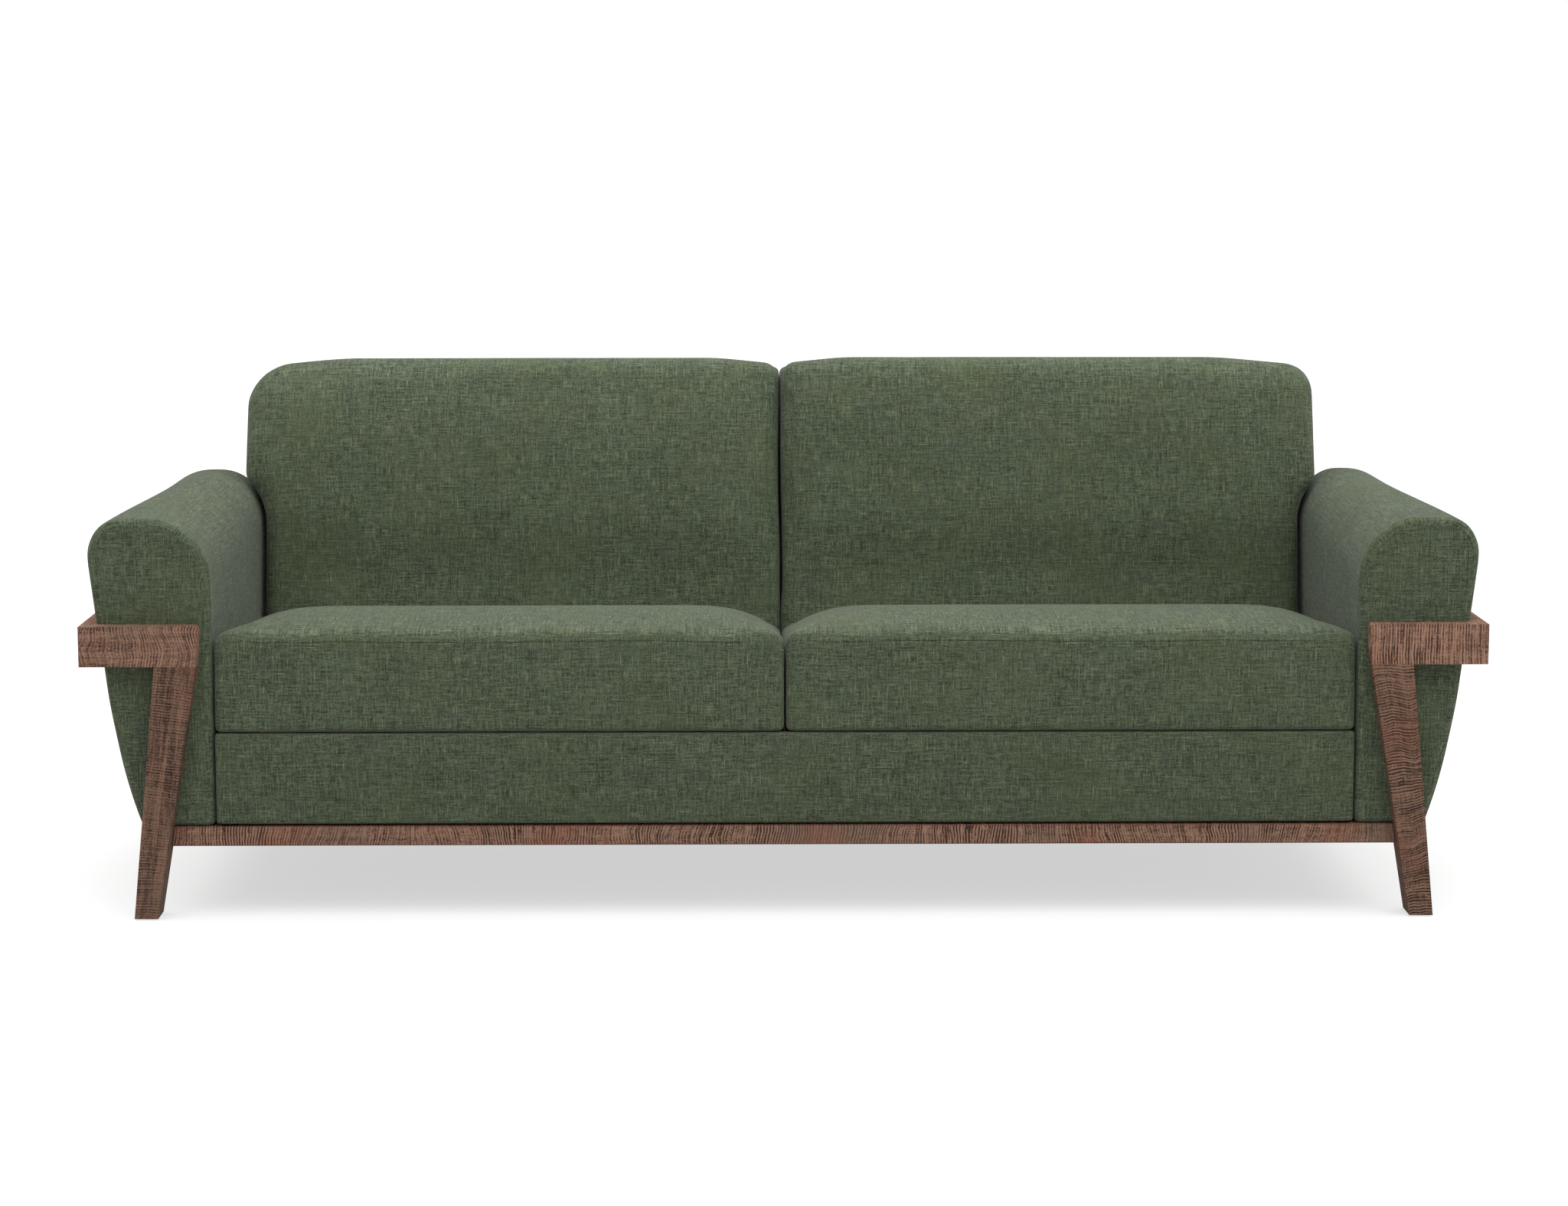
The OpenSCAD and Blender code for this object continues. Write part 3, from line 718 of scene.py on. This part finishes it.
def back_crown(obj):
    """Bows the front face forwards a little, above the seat."""
    co = coords(obj)
    flat = co - CREASE
    s = flat @ UP
    e = flat @ DEEP
    side = np.minimum(co[:, 0], WIDEST["right"] - co[:, 0])
    below_top = 1 - smooth(BACK_TOP - 0.16, BACK_TOP, s)
    bow = smooth(0.0, 0.16, side) * smooth(0.0, 0.15, s) * below_top
    set_coords(obj, co - np.outer(BACK_BOW * bow * (1 - smooth(0.0, 0.1, e)), DEEP))


def parts_low(s):
    """How far the right cushion's inner edge stands off the left one: most just above the seat."""
    return PARTING * smooth(-0.05, 0.0, s) * (1 - smooth(0.06, 0.24, s))


def parts_middle(s):
    """How far the left cushion's inner edge stands off the right one: most half way up."""
    return PARTING * smooth(0.04, 0.18, s) * (1 - smooth(0.20, 0.36, s))


def parts_nowhere(s):
    return 0.0 * s


PAD = {"start": 0.0, "depth": BACK_DEPTH, "top": BACK_TOP,
       "radii": back_radii, "cell": BACK_CELL, "cloth": 0.0}
COVER = {"start": PANEL_START, "depth": PANEL_END - PANEL_START, "top": BACK_TOP - PANEL_BELOW,
         "radii": panel_radii, "cell": PANEL_CELL, "cloth": PANEL_CLOTH}


def make_back(cloth):
    """Both halves of the back: a front cushion and a rear panel on each."""
    for side, part in (("right", parts_low), ("left", parts_middle)):
        widest = WIDEST[side]
        cushion = back_piece(side + "_back_pad", side, PAD, widest, part, cloth)
        back_crown(cushion)
        inflate(cushion, BACK_SWELL, [(-DEEP, back_front), (UP, back_top)])
        panel = back_piece(side + "_back_cover", side, COVER, widest - PANEL_IN,
                           parts_nowhere, cloth)
        for piece, node in ((cushion, side + "_back_cushion"), (panel, side + "_back_panel")):
            if side == "left":
                piece = mirrored(piece)
            subdivide(piece)
            press_seams(piece, BACK_SEAM_DEEP)
            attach(piece, side + "_back")
            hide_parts(node)


# ---- Seat cushions ----

SEAT_BOX_TOP = 0.462
SEAT_DEPTH = 0.575
SEAT_CELL, SEAT_CELL_DEEP = 0.012, 0.013
SEAT_CLOTH = 2.1
SEAT_DRAWN = 0.75
SEAT_SWELL = 0.004
SEAT_CROWN = 0.024
SEAT_CROWN_RUN = 0.265
SEAT_PITCH = 0.046
SEAT_BOW = 0.003
SEAT_REAR_GAP = 0.004
SEAT_REAR_RUN = 0.2
SWING_CLEAR = 0.005
SEAT_INNER = 0.0012
SEAM_BELOW = 0.0135
SEAT_SEAM_DEEP = 0.0012

# Edge radii, and how much fuller the top of each side is, in front and further behind.
SEAT_EDGE_R = 0.010
SEAT_FRONT_R = 0.012
SIDE_WIDER, SIDE_WIDER_BEHIND = 0.016, 0.111
SIDE_TALLER, SIDE_TALLER_BEHIND = 0.010, 0.017


def seat_radii(points, size):
    """Edge radii of a seat cushion: tight below and at the front, full at the top of both sides."""
    behind = smooth(0.0, 0.17, points[:, 1])
    high = smooth(0.35, 0.75, points[:, 2] / size[2])
    across = SEAT_EDGE_R + high * (SIDE_WIDER + SIDE_WIDER_BEHIND * behind)
    deep = np.full(len(points), SEAT_FRONT_R)
    tall = SEAT_EDGE_R + high * (SIDE_TALLER + SIDE_TALLER_BEHIND * behind)
    return np.stack([across, deep, tall], 1)


def seat_rear(z):
    """How far back a seat may reach at height z: the back's front plane, or its foot's sweep."""
    limit = np.full(len(z), np.inf)
    drop = z - PIVOT_Z
    sweep = SWING_R + SWING_CLEAR
    inside = np.abs(drop) < sweep
    limit[inside] = PIVOT_Y - np.sqrt(sweep * sweep - drop[inside] ** 2)
    plane = CREASE[1] + (z - CREASE[2]) * math.tan(RAKE) - SEAT_REAR_GAP
    return np.minimum(limit, plane)


def seat_points(shape, size):
    """Turns a rounded box into a right-hand seat cushion, crowned, with a shaped rear."""
    p = shape + np.array([SEAT_INNER, SEAT_LOW.y, SEAT_LOW.z])
    side = np.minimum(shape[:, 0], size[0] - shape[:, 0])
    across = 1 - np.power(1 - np.clip(side / SEAT_CROWN_RUN, 0, 1), 5)
    back = np.clip(shape[:, 1] / size[1], 0, 1)
    rise = np.clip(shape[:, 2] / size[2], 0, 1)
    crown = 4 * back * (1 - back) * across
    p[:, 2] += (SEAT_CROWN * crown - SEAT_PITCH * smooth(0, 1, back)) * smooth(0.2, 1.0, rise)
    # The front face bows forwards a little.
    bow = smooth(0, 0.2, side) * np.sin(np.pi * rise) * (1 - smooth(0, 0.05, shape[:, 1]))
    p[:, 1] -= SEAT_BOW * bow
    rear_part = smooth(size[1] - SEAT_REAR_RUN, size[1], shape[:, 1])
    reach = SEAT_LOW.y + size[1]
    p[:, 1] += rear_part * (np.minimum(seat_rear(p[:, 2]), reach) - reach)
    return p


def seat_lift(co):
    """How far each point of a seat cushion may swell upwards."""
    top = smooth(SEAT_LOW.z + 0.09, SEAT_BOX_TOP - 0.01, co[:, 2])
    return top * (1 - smooth(SEAT_HIGH.y - 0.22, SEAT_HIGH.y - 0.05, co[:, 1]))


def seat_front(co):
    """How far each point of a seat cushion may swell forwards."""
    level = smooth(SEAT_LOW.z + 0.004, SEAT_LOW.z + 0.04, co[:, 2])
    return 0.6 * level * (1 - smooth(SEAT_LOW.y + 0.01, SEAT_LOW.y + 0.06, co[:, 1]))


def widen_seat(obj, side):
    """Draws a seat cushion's outer end out to its arm."""
    co = coords(obj)
    share = smooth(0.3, 1.0, np.abs(co[:, 0]) / SEAT_HIGH.x)
    co[:, 0] += np.sign(co[:, 0]) * share * side_shift(side, co[:, 1])
    set_coords(obj, co)


def seat_mesh(name, cloth):
    """The right-hand seat cushion, with a seam along the top of its front."""
    size = (SEAT_HIGH.x - SEAT_INNER, SEAT_DEPTH, SEAT_BOX_TOP - SEAT_LOW.z)
    seam_z = size[2] - SEAM_BELOW
    tx, ty = ticks(size[0], SEAT_CELL), ticks(size[1], SEAT_CELL_DEEP)
    tz = ticks(size[2], SEAT_CELL, seams=(seam_z,))
    points, triples, quads, axes = box_shell(tx, ty, tz)
    shape = rounded(points, size, seat_radii(points, size))
    obj = new_object(name, seat_points(shape, size), quads, cloth)
    set_uv(obj, box_uv(points, quads, axes, SEAT_CLOTH, SEAT_DRAWN))
    line = (triples[:, 1] == 0) & (np.abs(points[:, 2] - seam_z) < SEAM_HALF / 2)
    side = np.minimum(points[:, 0], size[0] - points[:, 0])
    mark_seam(obj, line * (0.2 + 0.55 * smooth(0.02, 0.10, side)))
    return obj


def make_seat(cloth):
    right = seat_mesh("right_seat_pad", cloth)
    inflate(right, SEAT_SWELL, [(ABOVE, seat_lift), (AHEAD, seat_front)])
    left = mirrored(right, "left_seat_pad")
    for side, piece in (("right", right), ("left", left)):
        node = side + "_seat_cushion"
        widen_seat(piece, side)
        subdivide(piece)
        press_seams(piece, SEAT_SEAM_DEEP)
        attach(piece, "base")
        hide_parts(node)


# ---- Arms ----

ARM_POINTS = 140
ARM_CELL = 0.013
ARM_END_CLOTH = 3.3
ARM_DRAWN = 0.65
ARM_SWELL = 0.004
ARM_FRONT_R = 0.013
ARM_REAR_R = 0.030
FOOT_EDGE_R = 0.004
SHOULDER_R = 0.049
SHOULDER_GROWS = 0.046
FLANK_R = 0.800
FLANK_Z = 0.330
FLANK_LEAN = math.radians(6.7)
ROLL_EASE = 0.01
ROLL_STEPS, SHOULDER_STEPS, FLANK_STEPS, BELLY_STEPS, EDGE_STEPS = 24, 20, 20, 18, 6

# The outer face swells: how far, and between which heights each swelling comes.
FLANK_BULGE, FLANK_BULGE_Z = 0.0032, (0.28, 0.37)
ROLL_BULGE, ROLL_BULGE_Z = 0.0022, (0.42, 0.50)
BULGE_END_Z = (0.575, 0.625)
OUTER_FROM = 0.1

# The rings that close each end draw in towards a core line in the arm.
END_INSETS = (0.075, 0.062, 0.050, 0.040, 0.033, 0.025, 0.018)
END_FLAT = 0.012
CORE_FOOT_IN, CORE_FOOT_UP = 0.066, 0.062
CORE_HEAD_IN, CORE_HEAD_DOWN = 0.099, 0.098
CORE_R = 0.099
MOST_SHARE = 0.97
EVEN_FROM = 0.05


def arc(centre, r, a0, a1, count):
    angles = np.linspace(a0, a1, count)
    return [(centre[0] + r * math.cos(a), centre[1] + r * math.sin(a)) for a in angles]


def arm_outline(back):
    """Front view of the right arm, counter-clockwise from its inner bottom corner.

    back runs from 0 in front to 1 at the rear.
    """
    roll_r = ROLL_R + (REAR_ROLL_R - ROLL_R) * back
    shoulder_r = SHOULDER_R + SHOULDER_GROWS * back
    cosine = math.cos(FLANK_LEAN)
    sine = math.sin(FLANK_LEAN)
    roll = (ARM_LOW.x + roll_r, ARM_HIGH.z - roll_r)
    shoulder = (ARM_HIGH.x - shoulder_r, ARM_HIGH.z - shoulder_r)
    end = (shoulder[0] + shoulder_r * cosine, shoulder[1] - shoulder_r * sine)
    start = (end[0] - (end[1] - FLANK_Z) * math.tan(FLANK_LEAN), FLANK_Z)
    centre = (start[0] - FLANK_R * cosine, start[1] + FLANK_R * sine)
    last = math.asin((centre[1] - ARM_LOW.z) / FLANK_R)
    path = [(ARM_LOW.x, ARM_LOW.z + FOOT_EDGE_R), (ARM_LOW.x, roll[1] - ROLL_EASE)]
    path += arc(roll, roll_r, math.pi, math.pi / 2, ROLL_STEPS)
    path += arc(shoulder, shoulder_r, math.pi / 2, -FLANK_LEAN, SHOULDER_STEPS)
    path += list(np.linspace(end, start, FLANK_STEPS)[1:-1])
    path += arc(centre, FLANK_R, -FLANK_LEAN, -last, BELLY_STEPS)
    path += [(ARM_LOW.x + FOOT_EDGE_R, ARM_LOW.z)]
    path = np.array([tuple(point) for point in path])
    z = path[:, 1]
    bulge = FLANK_BULGE * smooth(*FLANK_BULGE_Z, z) + ROLL_BULGE * smooth(*ROLL_BULGE_Z, z)
    outer = path[:, 0] > ARM_LOW.x + OUTER_FROM
    path[:, 0] += bulge * (1 - smooth(*BULGE_END_Z, z)) * outer
    return path


def resampled(path, count):
    """Even points along a closed path, and how far round it each one is."""
    closed = np.vstack([path, path[:1]])
    steps = np.linalg.norm(np.diff(closed, axis=0), axis=1)
    run = np.concatenate([[0], np.cumsum(steps)])
    at = np.linspace(0, run[-1], count, endpoint=False)
    return np.stack([np.interp(at, run, closed[:, i]) for i in range(2)], 1), at


def arm_profile():
    """How far in from the outline each ring is, and how far along the arm."""
    length = ARM_HIGH.y - ARM_LOW.y
    near = ARM_FRONT_R
    far = ARM_REAR_R
    turn = np.linspace(0, math.pi / 2, EDGE_STEPS)
    front = [(inset, 0.0) for inset in END_INSETS]
    front += [(near - near * math.sin(a), near - near * math.cos(a)) for a in turn]
    body = [(0.0, near + t) for t in ticks(length - near - far, ARM_CELL)[1:-1]]
    rear = [(far - far * math.cos(a), length - far + far * math.sin(a)) for a in turn]
    rear += [(inset, length) for inset in reversed(END_INSETS) if inset > far]
    return front + body + rear


def inset_outline(outline, inset):
    """Moves the outline towards the arm's core line."""
    foot = np.array([ARM_LOW.x + CORE_FOOT_IN, ARM_LOW.z + CORE_FOOT_UP])
    head = np.array([ARM_LOW.x + CORE_HEAD_IN, ARM_HIGH.z - CORE_HEAD_DOWN])
    axis = head - foot
    t = np.clip(((outline - foot) @ axis) / (axis @ axis), 0, 1)
    anchor = foot + t[:, None] * axis
    reach = np.linalg.norm(anchor - outline, axis=1, keepdims=True)
    even = inset / CORE_R
    share = np.minimum(inset / reach if inset < EVEN_FROM else even, MOST_SHARE)
    blend = min(inset / END_INSETS[0], 1.0)
    share = share * (1 - blend) + blend * even
    return outline + (anchor - outline) * share


def arm_rings(rings):
    """The points of every ring, from front to rear."""
    points = []
    for inset, along in rings:
        back = float(smooth(0.0, 0.8, along / (ARM_HIGH.y - ARM_LOW.y)))
        outline = resampled(arm_outline(back), ARM_POINTS)[0]
        for x, z in inset_outline(outline, inset):
            rise = ARM_RISE * back * float(smooth(0.52, 0.64, z))
            points.append((x, ARM_LOW.y + along, z + rise))
    return points


def end_uv(points, face):
    """Cloth coordinates of a face that lies across an end of the arm."""
    return [(points[v][0] + ARM_END_CLOTH, points[v][2]) for v in face]


def arm_sides(points, rings):
    """The faces between the rings, and cloth coordinates that run round the arm and along it."""
    count = ARM_POINTS
    run = resampled(arm_outline(0.0), count)[1]
    total = run[-1] + run[1]
    steps = [math.hypot(b[0] - a[0], b[1] - a[1]) for a, b in zip(rings, rings[1:])]
    travel = ARM_DRAWN * np.cumsum([0.0] + steps)
    faces, uv = [], []
    for k in range(len(rings) - 1):
        flat = min(rings[k][0], rings[k + 1][0]) > END_FLAT
        v0, v1 = travel[k], travel[k + 1]
        for i in range(count):
            j = (i + 1) % count
            quad = (k * count + i, (k + 1) * count + i, (k + 1) * count + j, k * count + j)
            faces.append(quad)
            if flat:
                uv += end_uv(points, quad)
                continue
            u0 = run[i]
            u1 = run[j] if j else total
            uv += [(u0, v0), (u0, v1), (u1, v1), (u1, v0)]
    return faces, uv


def arm_end(points, base, flip):
    """Faces that close an end: its last ring joined across the middle, from its lowest point."""
    count = ARM_POINTS
    tip = int(np.argmin([points[base + i][2] for i in range(count)]))
    order = [base + (tip + i) % count for i in range(count)]
    half = count // 2
    faces = []
    for i in range(half):
        a, b = order[i], order[i + 1]
        c, d = order[(count - i - 1) % count], order[(count - i) % count]
        face = [a, b, c, d] if i else [a, b, c]
        if i == half - 1:
            face = [a, b, d]
        faces.append(tuple(face[::-1] if flip else face))
    return faces


def arm_mesh(name, cloth):
    """The right arm as one closed shell. It has no seam."""
    rings = arm_profile()
    points = arm_rings(rings)
    faces, uv = arm_sides(points, rings)
    last = (len(rings) - 1) * ARM_POINTS
    for face in arm_end(points, 0, False) + arm_end(points, last, True):
        faces.append(face)
        uv += end_uv(points, face)
    obj = new_object(name, points, faces, cloth)
    set_uv(obj, uv)
    mark_seam(obj, np.zeros(len(points)))
    return obj


def arm_lift(co):
    """How far each point of an arm may swell upwards: only its roll does."""
    return smooth(ARM_HIGH.z - 0.10, ARM_HIGH.z - 0.02, co[:, 2])


def arm_front(co):
    """How far each point of an arm may swell forwards: only above the beam."""
    near = 1 - smooth(ARM_LOW.y + 0.005, ARM_LOW.y + 0.03, co[:, 1])
    return 0.5 * smooth(0.49, 0.54, co[:, 2]) * near


def thin_arm(obj, side):
    """Moves an arm's inner face outwards a little; its outer face stays."""
    co = coords(obj)
    share = 1 - smooth(0.0, 0.11, np.abs(co[:, 0]) - ARM_LOW.x)
    co[:, 0] += np.sign(co[:, 0]) * share * side_shift(side, co[:, 1])
    set_coords(obj, co)


def make_arms(cloth):
    right = arm_mesh("right_arm_cover", cloth)
    inflate(right, ARM_SWELL, [(ABOVE, arm_lift), (AHEAD, arm_front)])
    left = mirrored(right, "left_arm_cover")
    for side, piece in (("right", right), ("left", left)):
        node = side + "_arm_pad"
        thin_arm(piece, side)
        subdivide(piece)
        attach(piece, "base")
        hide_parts(node)


# ---- Aprons and lining ----

APRON_LIFT = 0.003
APRON_EDGE_R = 0.0045
APRON_CROWN, APRON_CROWN_RUN = 0.003, 0.05
APRON_CELL, APRON_CELL_DEEP, APRON_CELL_TALL = 0.014, 0.005, 0.010
APRON_FINE = 0.0025
FRONT_APRON_CLOTH = 4.7
REAR_APRON_CLOTH = 5.9


def make_apron(name, node, cloth, shift, face):
    """A thin padded board that stands just off the rail. face is -1 in front, 1 at the rear."""
    low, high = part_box(node)
    low.z += APRON_LIFT
    low.x -= float(side_shift("left", low.y))
    high.x += float(side_shift("right", low.y))
    size = tuple(high - low)
    tx, ty = ticks(size[0], APRON_CELL), ticks(size[1], APRON_CELL_DEEP)
    tz = ticks(size[2], APRON_CELL_TALL, APRON_FINE)
    points, _, quads, axes = box_shell(tx, ty, tz)
    shape = rounded(points, size, np.full((len(points), 3), APRON_EDGE_R))
    side = np.minimum(shape[:, 0], size[0] - shape[:, 0])
    rise = np.minimum(shape[:, 2], size[2] - shape[:, 2])
    crown = APRON_CROWN * smooth(0, APRON_CROWN_RUN, side) * smooth(0, APRON_CROWN_RUN, rise)
    outer = shape[:, 1] / size[1] if face > 0 else 1 - shape[:, 1] / size[1]
    shape[:, 1] += face * crown * outer
    obj = new_object(name, shape + np.array(low), quads, cloth)
    set_uv(obj, box_uv(points, quads, axes, shift))
    mark_seam(obj, np.zeros(len(shape)))
    subdivide(obj)
    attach(obj, "base")
    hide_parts(node)


LINING_CELLS = (120, 46)
LINING_SAG, LINING_SAG_RUN = 0.004, 0.2
LEG_ROOM = 0.004


def lining_mesh(low, high, lining):
    """A flat cloth that sags a little, with a slot at the rear round the centre leg."""
    leg_low, leg_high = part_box("centre_leg")
    nx, ny = LINING_CELLS
    xs = np.linspace(low.x, high.x, nx + 1)
    ys = np.linspace(low.y, high.y, ny + 1)
    points = []
    for y in ys:
        for x in xs:
            edge = min(x - low.x, high.x - x, y - low.y, high.y - y)
            points.append((x, y, low.z - LINING_SAG * float(smooth(0, LINING_SAG_RUN, edge))))
    faces = []
    for j in range(ny):
        for i in range(nx):
            mid_x = (xs[i] + xs[i + 1]) / 2
            mid_y = (ys[j] + ys[j + 1]) / 2
            if abs(mid_x) < leg_high.x + LEG_ROOM and mid_y > leg_low.y - LEG_ROOM:
                continue
            row = j * (nx + 1) + i
            faces.append((row, row + 1, row + nx + 2, row + nx + 1))
    return new_object("under_lining", points, faces, lining)


def make_dust_cover(lining):
    """The black cloth stretched under the base."""
    low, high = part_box("dust_cover")
    obj = lining_mesh(low, high, lining)
    obj.data.shade_smooth()
    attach(obj, "base")
    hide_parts("dust_cover")


# ---- Carried-over CAD nodes ----

WELD_WITHIN = 0.00002
EASE_SEGMENTS = 2
EASE_ANGLE = math.radians(30)
LEG_WIDTH = 0.0525
LEG_RISE = 0.412
PINE_DARK = (0.50, 0.33, 0.17)
PINE_PALE = (0.68, 0.49, 0.28)
PLY_DARK = (0.42, 0.29, 0.16)
PLY_PALE = (0.55, 0.40, 0.24)


def dress(node, material, worn_and_shaded=None, width=0.0):
    """Gives a CAD node its material and eases its edges, which take the second material: rubbed
    wear with painted shade.
    """
    obj = frame["nodes"][node]
    obj.data.materials.clear()
    obj.data.materials.append(material)
    if worn_and_shaded is not None:
        obj.data.materials.append(worn_and_shaded)
    if width:
        weld = obj.modifiers.new("weld", "WELD")
        weld.merge_threshold = WELD_WITHIN
        bevel = obj.modifiers.new("ease", "BEVEL")
        bevel.width = width
        bevel.segments = EASE_SEGMENTS
        bevel.limit_method = "ANGLE"
        bevel.angle_limit = EASE_ANGLE
        bevel.harden_normals = False
        bevel.material = -1 if worn_and_shaded is None else 1


def oak_pair(name, axis, lean, tone, sawn, swirl, fibred):
    """The face and the eased edge of one kind of timber: the edge has rubbed wear and painted
    shade.
    """
    return (oak(name, axis, lean, tone, False, sawn, swirl, fibred),
            oak(name + "_worn", axis, lean, tone, True, sawn, swirl, fibred))


def dress_timber():
    """The legs, beams and rails: each kind has its own tone and its own marks."""
    leg_low, leg_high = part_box("front_right_leg")
    slant = math.atan2(leg_high.x - leg_low.x - LEG_WIDTH, LEG_RISE)
    # The numbers: the length's axis and lean, the tone, the saw marks, their swirl, the grain.
    kinds = {
        "beam_r": oak_pair("oak_beam_right", 0, 0.0, 0.93, 1.6, 0.008, 0.45),
        "beam_l": oak_pair("oak_beam_left", 0, 0.0, 0.82, 0.8, 0.050, 0.65),
        "side": oak_pair("oak_side", 1, 0.0, 0.88, 0.9, 0.020, 0.8),
        "rail": oak_pair("oak_rail", 0, 0.0, 0.81, 1.6, 0.040, 0.40),
        "leg_r": oak_pair("oak_leg_right", 2, slant, 0.62, 1.05, 0.045, 0.55),
        "leg_l": oak_pair("oak_leg_left", 2, -slant, 0.56, 0.5, 0.015, 1.1),
    }
    for end in ("front", "rear"):
        for side in ("left", "right"):
            dress(f"{end}_{side}_beam", *kinds["beam_" + side[0]], width=0.0022)
            dress(f"{end}_{side}_leg", *kinds["leg_" + side[0]], width=0.0025)
        dress(f"{end}_rail", *kinds["rail"], width=0.0018)
    for side in ("left", "right"):
        dress(f"{side}_side_beam", *kinds["side"], width=0.0025)
        dress(f"{side}_base_rail", *kinds["side"], width=0.0018)
    dress("centre_leg", *kinds["leg_r"], width=0.002)


def dress_hidden(lining):
    """Boards, frames, slats, hinges, bolts and glides."""
    ply = plain_wood("plywood", 0, PLY_DARK, PLY_PALE)
    pine = plain_wood("pine", 0, PINE_DARK, PINE_PALE)
    upright = plain_wood("pine_upright", 2, PINE_DARK, PINE_PALE)
    zinc = metal("zinc", (0.52, 0.53, 0.55), 0.9, 0.4, 300)
    steel = metal("painted_steel", (0.03, 0.03, 0.032), 0.2, 0.5, 200)
    for node in ("apron_board", "left_seat_board", "right_seat_board", "centre_divider",
                 "rear_seat_boards", "left_arm_frame", "right_arm_frame"):
        dress(node, ply, width=0.001)
    for node in ("seat_slats", "beam_dowels"):
        dress(node, pine)
    dress("leg_glides", dark_plastic("glide_plastic"), width=0.0004)
    for node in ("leg_bolts", "hinge_pins", "hinge_base_bolts"):
        dress(node, zinc)
    for side in ("left", "right"):
        dress(f"{side}_back_top_rail", pine, width=0.0015)
        dress(f"{side}_back_bottom_rail", pine, width=0.0015)
        dress(f"{side}_back_uprights", upright, width=0.0015)
        dress(f"{side}_back_webbing", lining)
        dress(f"{side}_back_bolts", zinc)
        for place in ("outer_base", "inner_base", "outer_back", "inner_back"):
            dress(f"{side}_{place}_plate", steel, width=0.0004)


# ---- Stage, lights and camera ----

FLOOR_HALF = 40.0
SKY_LEVEL = 0.52


def make_stage():
    half = FLOOR_HALF
    corners = [(-half, -half, 0), (half, -half, 0), (half, half, 0), (-half, half, 0)]
    floor = new_object("floor", corners, [(0, 1, 2, 3)], floor_panel("floor_panel"))


def sun(name, toward, spread, level):
    """A wide soft light. level is the light on a surface that faces it."""
    data = bpy.data.lights.new(name, "SUN")
    data.angle = math.radians(spread)
    data.energy = math.pi * level
    obj = bpy.data.objects.new(name, data)
    bpy.context.scene.collection.objects.link(obj)
    obj.rotation_euler = Vector(toward).to_track_quat("Z", "Y").to_euler()


def make_lights():
    """An even sky that the camera sees as white, and three soft suns."""
    world = bpy.data.worlds.new("studio")
    world.use_nodes = True
    tree = world.node_tree
    back = tree.nodes["Background"]
    back.inputs[0].default_value = (1, 1, 1, 1)
    ray = tree.nodes.new("ShaderNodeLightPath")
    level = tree.nodes.new("ShaderNodeMapRange")
    tree.links.new(ray.outputs["Is Camera Ray"], level.inputs["Value"])
    level.inputs["To Min"].default_value = SKY_LEVEL
    level.inputs["To Max"].default_value = 1.0
    tree.links.new(level.outputs["Result"], back.inputs[1])
    bpy.context.scene.world = world
    sun("overhead", (0.0, 0.0, 1.0), 95, 0.95)
    sun("front", (0.0, -1.0, 1.0), 70, 0.05)
    sun("right", (1.0, -0.4, 0.7), 70, 0.17)


# The lens as a share of the sensor's width, as the photo's straight edges give it.
CAMERA_FOCAL = 2.24609375
CAMERA_SENSOR = 36.0
CAMERA_X = -0.079
CAMERA_AWAY = 5.573
CAMERA_Z = 1.312
CAMERA_DOWN = 8.13
CAMERA_TURN = -0.79


def make_camera():
    """The photo's camera."""
    data = bpy.data.cameras.new("camera")
    data.sensor_width = CAMERA_SENSOR
    data.lens = CAMERA_FOCAL * CAMERA_SENSOR
    camera = bpy.data.objects.new("camera", data)
    bpy.context.scene.collection.objects.link(camera)
    camera.location = (CAMERA_X, FRONT_Y - CAMERA_AWAY, CAMERA_Z)
    camera.rotation_euler = (math.radians(90 - CAMERA_DOWN), 0.0, math.radians(CAMERA_TURN))
    bpy.context.scene.camera = camera


def main():
    scene = bpy.context.scene
    scene.view_settings.view_transform = "Standard"
    make_camera()
    make_stage()
    make_lights()
    lining = black_lining("black_lining")
    dress_timber()
    dress_hidden(lining)
    make_back(linen("green_linen_back", 1.05))
    make_seat(linen("green_linen_seat", 0.96))
    make_arms(linen("green_linen_arm", 0.93))
    apron_cloth = linen("green_linen_apron", 0.89)
    make_apron("front_apron", "apron_pad", apron_cloth, FRONT_APRON_CLOTH, -1)
    make_apron("back_apron", "rear_apron", apron_cloth, REAR_APRON_CLOTH, 1)
    make_dust_cover(lining)


main()
